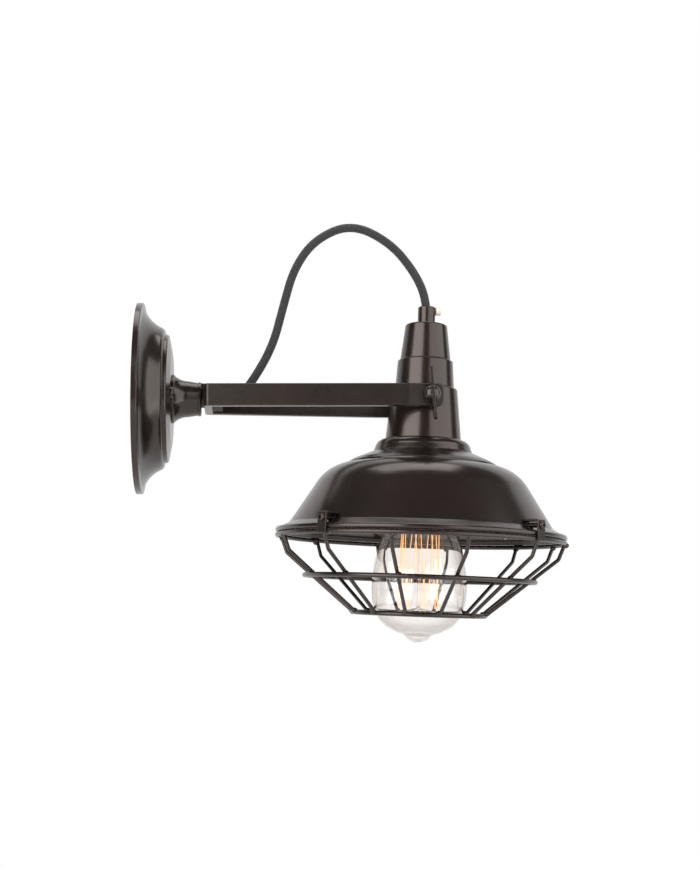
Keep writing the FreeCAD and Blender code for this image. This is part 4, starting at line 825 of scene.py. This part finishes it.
zinc = bare_metal(
    "zinc", (0.56, 0.54, 0.50), (0.40, 0.39, 0.37), gloss=(0.28, 0.46), grains=900, depth=0.00002, patch=350)
dark_zinc = bare_metal(
    "dark_zinc", (0.085, 0.070, 0.062), (0.045, 0.037, 0.033), gloss=(0.28, 0.42), grains=900, depth=0.00002,
    patch=350)
raw_steel = bare_metal(
    "raw_steel", (0.42, 0.40, 0.37), (0.28, 0.25, 0.22), gloss=(0.34, 0.55), grains=1500, depth=0.00003,
    patch=120)
brass = bare_metal(
    "brass", (0.72, 0.53, 0.26), (0.48, 0.33, 0.15), gloss=(0.22, 0.42), grains=800, depth=0.00002, patch=160)
print("metals:", zinc.name, dark_zinc.name, raw_steel.name, brass.name)

# %% [markdown]
# ## Plastics, porcelain and cloth
# The thumb screw and the terminal block are pale nylon. It lets a little light
# in, which subsurface weight gives. Porcelain is glossy and nearly even. Phenolic and the jackets of
# the wires are dark or coloured plastics. The yarns of the cord are matt, with
# a faint sheen from their loose fibres; their plait is in the mesh already, so
# the bump only has to show the fibres.

# %% Plastics, porcelain and cloth
nylon = finish(
    "nylon", (0.80, 0.76, 0.68), (0.70, 0.64, 0.54), gloss=(0.30, 0.42), grains=1400, depth=0.00002,
    patch=400, Subsurface_Weight=0.35, Subsurface_Scale=0.002)
porcelain = finish(
    "porcelain", (0.80, 0.78, 0.73), (0.72, 0.70, 0.64), gloss=(0.10, 0.22), grains=500, depth=0.00002,
    patch=80)
phenolic = finish(
    "phenolic", (0.030, 0.024, 0.020), (0.016, 0.012, 0.010), gloss=(0.26, 0.40), grains=900, depth=0.00002,
    patch=150)
wire_jacket = finish(
    "wire_jacket", (0.19, 0.045, 0.02), (0.12, 0.03, 0.015), gloss=(0.35, 0.5), grains=1200, depth=0.00003,
    patch=200)
textile = finish(
    "textile", (0.030, 0.027, 0.027), (0.012, 0.011, 0.011), gloss=(0.72, 0.95), grains=5200, depth=0.00012,
    patch=1500, fine=0.8, Sheen_Weight=0.25, Sheen_Roughness=0.5)
print("others:", nylon.name, porcelain.name, phenolic.name, wire_jacket.name, textile.name)

# %% [markdown]
# ## Clear glass
# Clear glass is told by its edges: seen along the wall it is thicker and takes
# a warm grey tint, seen straight through it is nearly nothing. Layer Weight
# gives that. A few faint smears keep it from being perfect.

# %% Glass
SIDE_ON_BLEND, SIDE_ON_EDGES = 0.45, (0.25, 0.95)
CLEAR, EDGE_TINT = (0.99, 0.97, 0.95, 1), (0.42, 0.33, 0.27, 1)
SMEARS_PER_METRE, SMEAR_EDGES, SMEAR_ROUGHNESS = 60.0, (0.45, 0.75), (0.0, 0.03)

glass = bpy.data.materials.new("clear_glass")
glass.use_nodes = True
glass_tree = glass.node_tree
glass_shader = glass_tree.nodes["Principled BSDF"]
glass_shader.inputs["Transmission Weight"].default_value = 1.0
glass_shader.inputs["IOR"].default_value = 1.5
side_on = node(glass_tree, "ShaderNodeLayerWeight")
side_on.inputs["Blend"].default_value = SIDE_ON_BLEND
tint_share = spread(glass_tree, side_on.outputs["Facing"], *SIDE_ON_EDGES)
tinted = blended(glass_tree, tint_share, CLEAR, EDGE_TINT)
glass_tree.links.new(tinted, glass_shader.inputs["Base Color"])
smear = wired_noise(glass_tree, SMEARS_PER_METRE)
smear_roughness = spread(glass_tree, smear.outputs[0], *SMEAR_EDGES, *SMEAR_ROUGHNESS)
glass_tree.links.new(smear_roughness, glass_shader.inputs["Roughness"])
print("glass:", glass.name)

# %% [markdown]
# ## The glowing thread
# A carbon thread glows deep amber where it is cooler and paler where it is
# hotter. Strong light would burn it out to white, so the glow is dim, and its
# colour wanders along the strands.

# %% Glow
AMBER, PALE_AMBER, GLOW_STRENGTH = (1.0, 0.40, 0.10, 1), (1.0, 0.56, 0.24, 1), 1.3
WARM_PATCHES_PER_METRE = 40.0

glow = finish(
    "filament_glow", (0.9, 0.5, 0.2), (0.7, 0.3, 0.1), gloss=(0.4, 0.6), grains=2000, depth=0.00001,
    patch=120)
glow_shader = glow.node_tree.nodes["Principled BSDF"]
warmth = wired_noise(glow.node_tree, WARM_PATCHES_PER_METRE)
amber = blended(glow.node_tree, warmth.outputs[0], AMBER, PALE_AMBER)
glow.node_tree.links.new(amber, glow_shader.inputs["Emission Color"])
glow_shader.inputs["Emission Strength"].default_value = GLOW_STRENGTH
print("glow:", glow.name)

# %% [markdown]
# ## Who wears what
# The lamp's record names a material slot for each piece. The slot decides the
# finish, except that black paint has four kinds, by how the piece was formed,
# and the clip screws get their dark zinc.

# %% Put the finishes on
FINISH_OF_SLOT = {
    "zinc": zinc, "raw_steel": raw_steel, "brass": brass, "nylon": nylon,
    "textile_cord": textile, "porcelain": porcelain, "phenolic": phenolic, "clear_glass": glass,
    "filament": glow, "insulated_wire": wire_jacket}
SPUN = {"wall_plate", "shade", "shade_cap"}
BARS = {"arm_fork", "cage_clips", "lock_plate", "coupling_nut"}
slot_of = {s["node"]: s["material_slot"] for s in frame["record"]["subparts"]}


def finish_of(name):
    """The finish of one part of the lamp."""
    if name == "clip_screws":
        return dark_zinc
    if slot_of[name] != "black_paint":
        return FINISH_OF_SLOT[slot_of[name]]
    if name in SPUN:
        return spun_paint
    if name in BARS:
        return bar_paint
    return wire_paint if name.startswith("cage_") else cast_paint


for name, thing in nodes.items():
    thing.data.materials.clear()
    thing.data.materials.append(finish_of(name))
for piece, finish_here in ((cord, textile), (glass_skin, glass), (screw_cap, brass), (filament, glow),
                           (thumb_screw, nylon), (beads, wire_paint)):
    piece.data.materials.append(finish_here)
print(len(nodes), "parts finished")
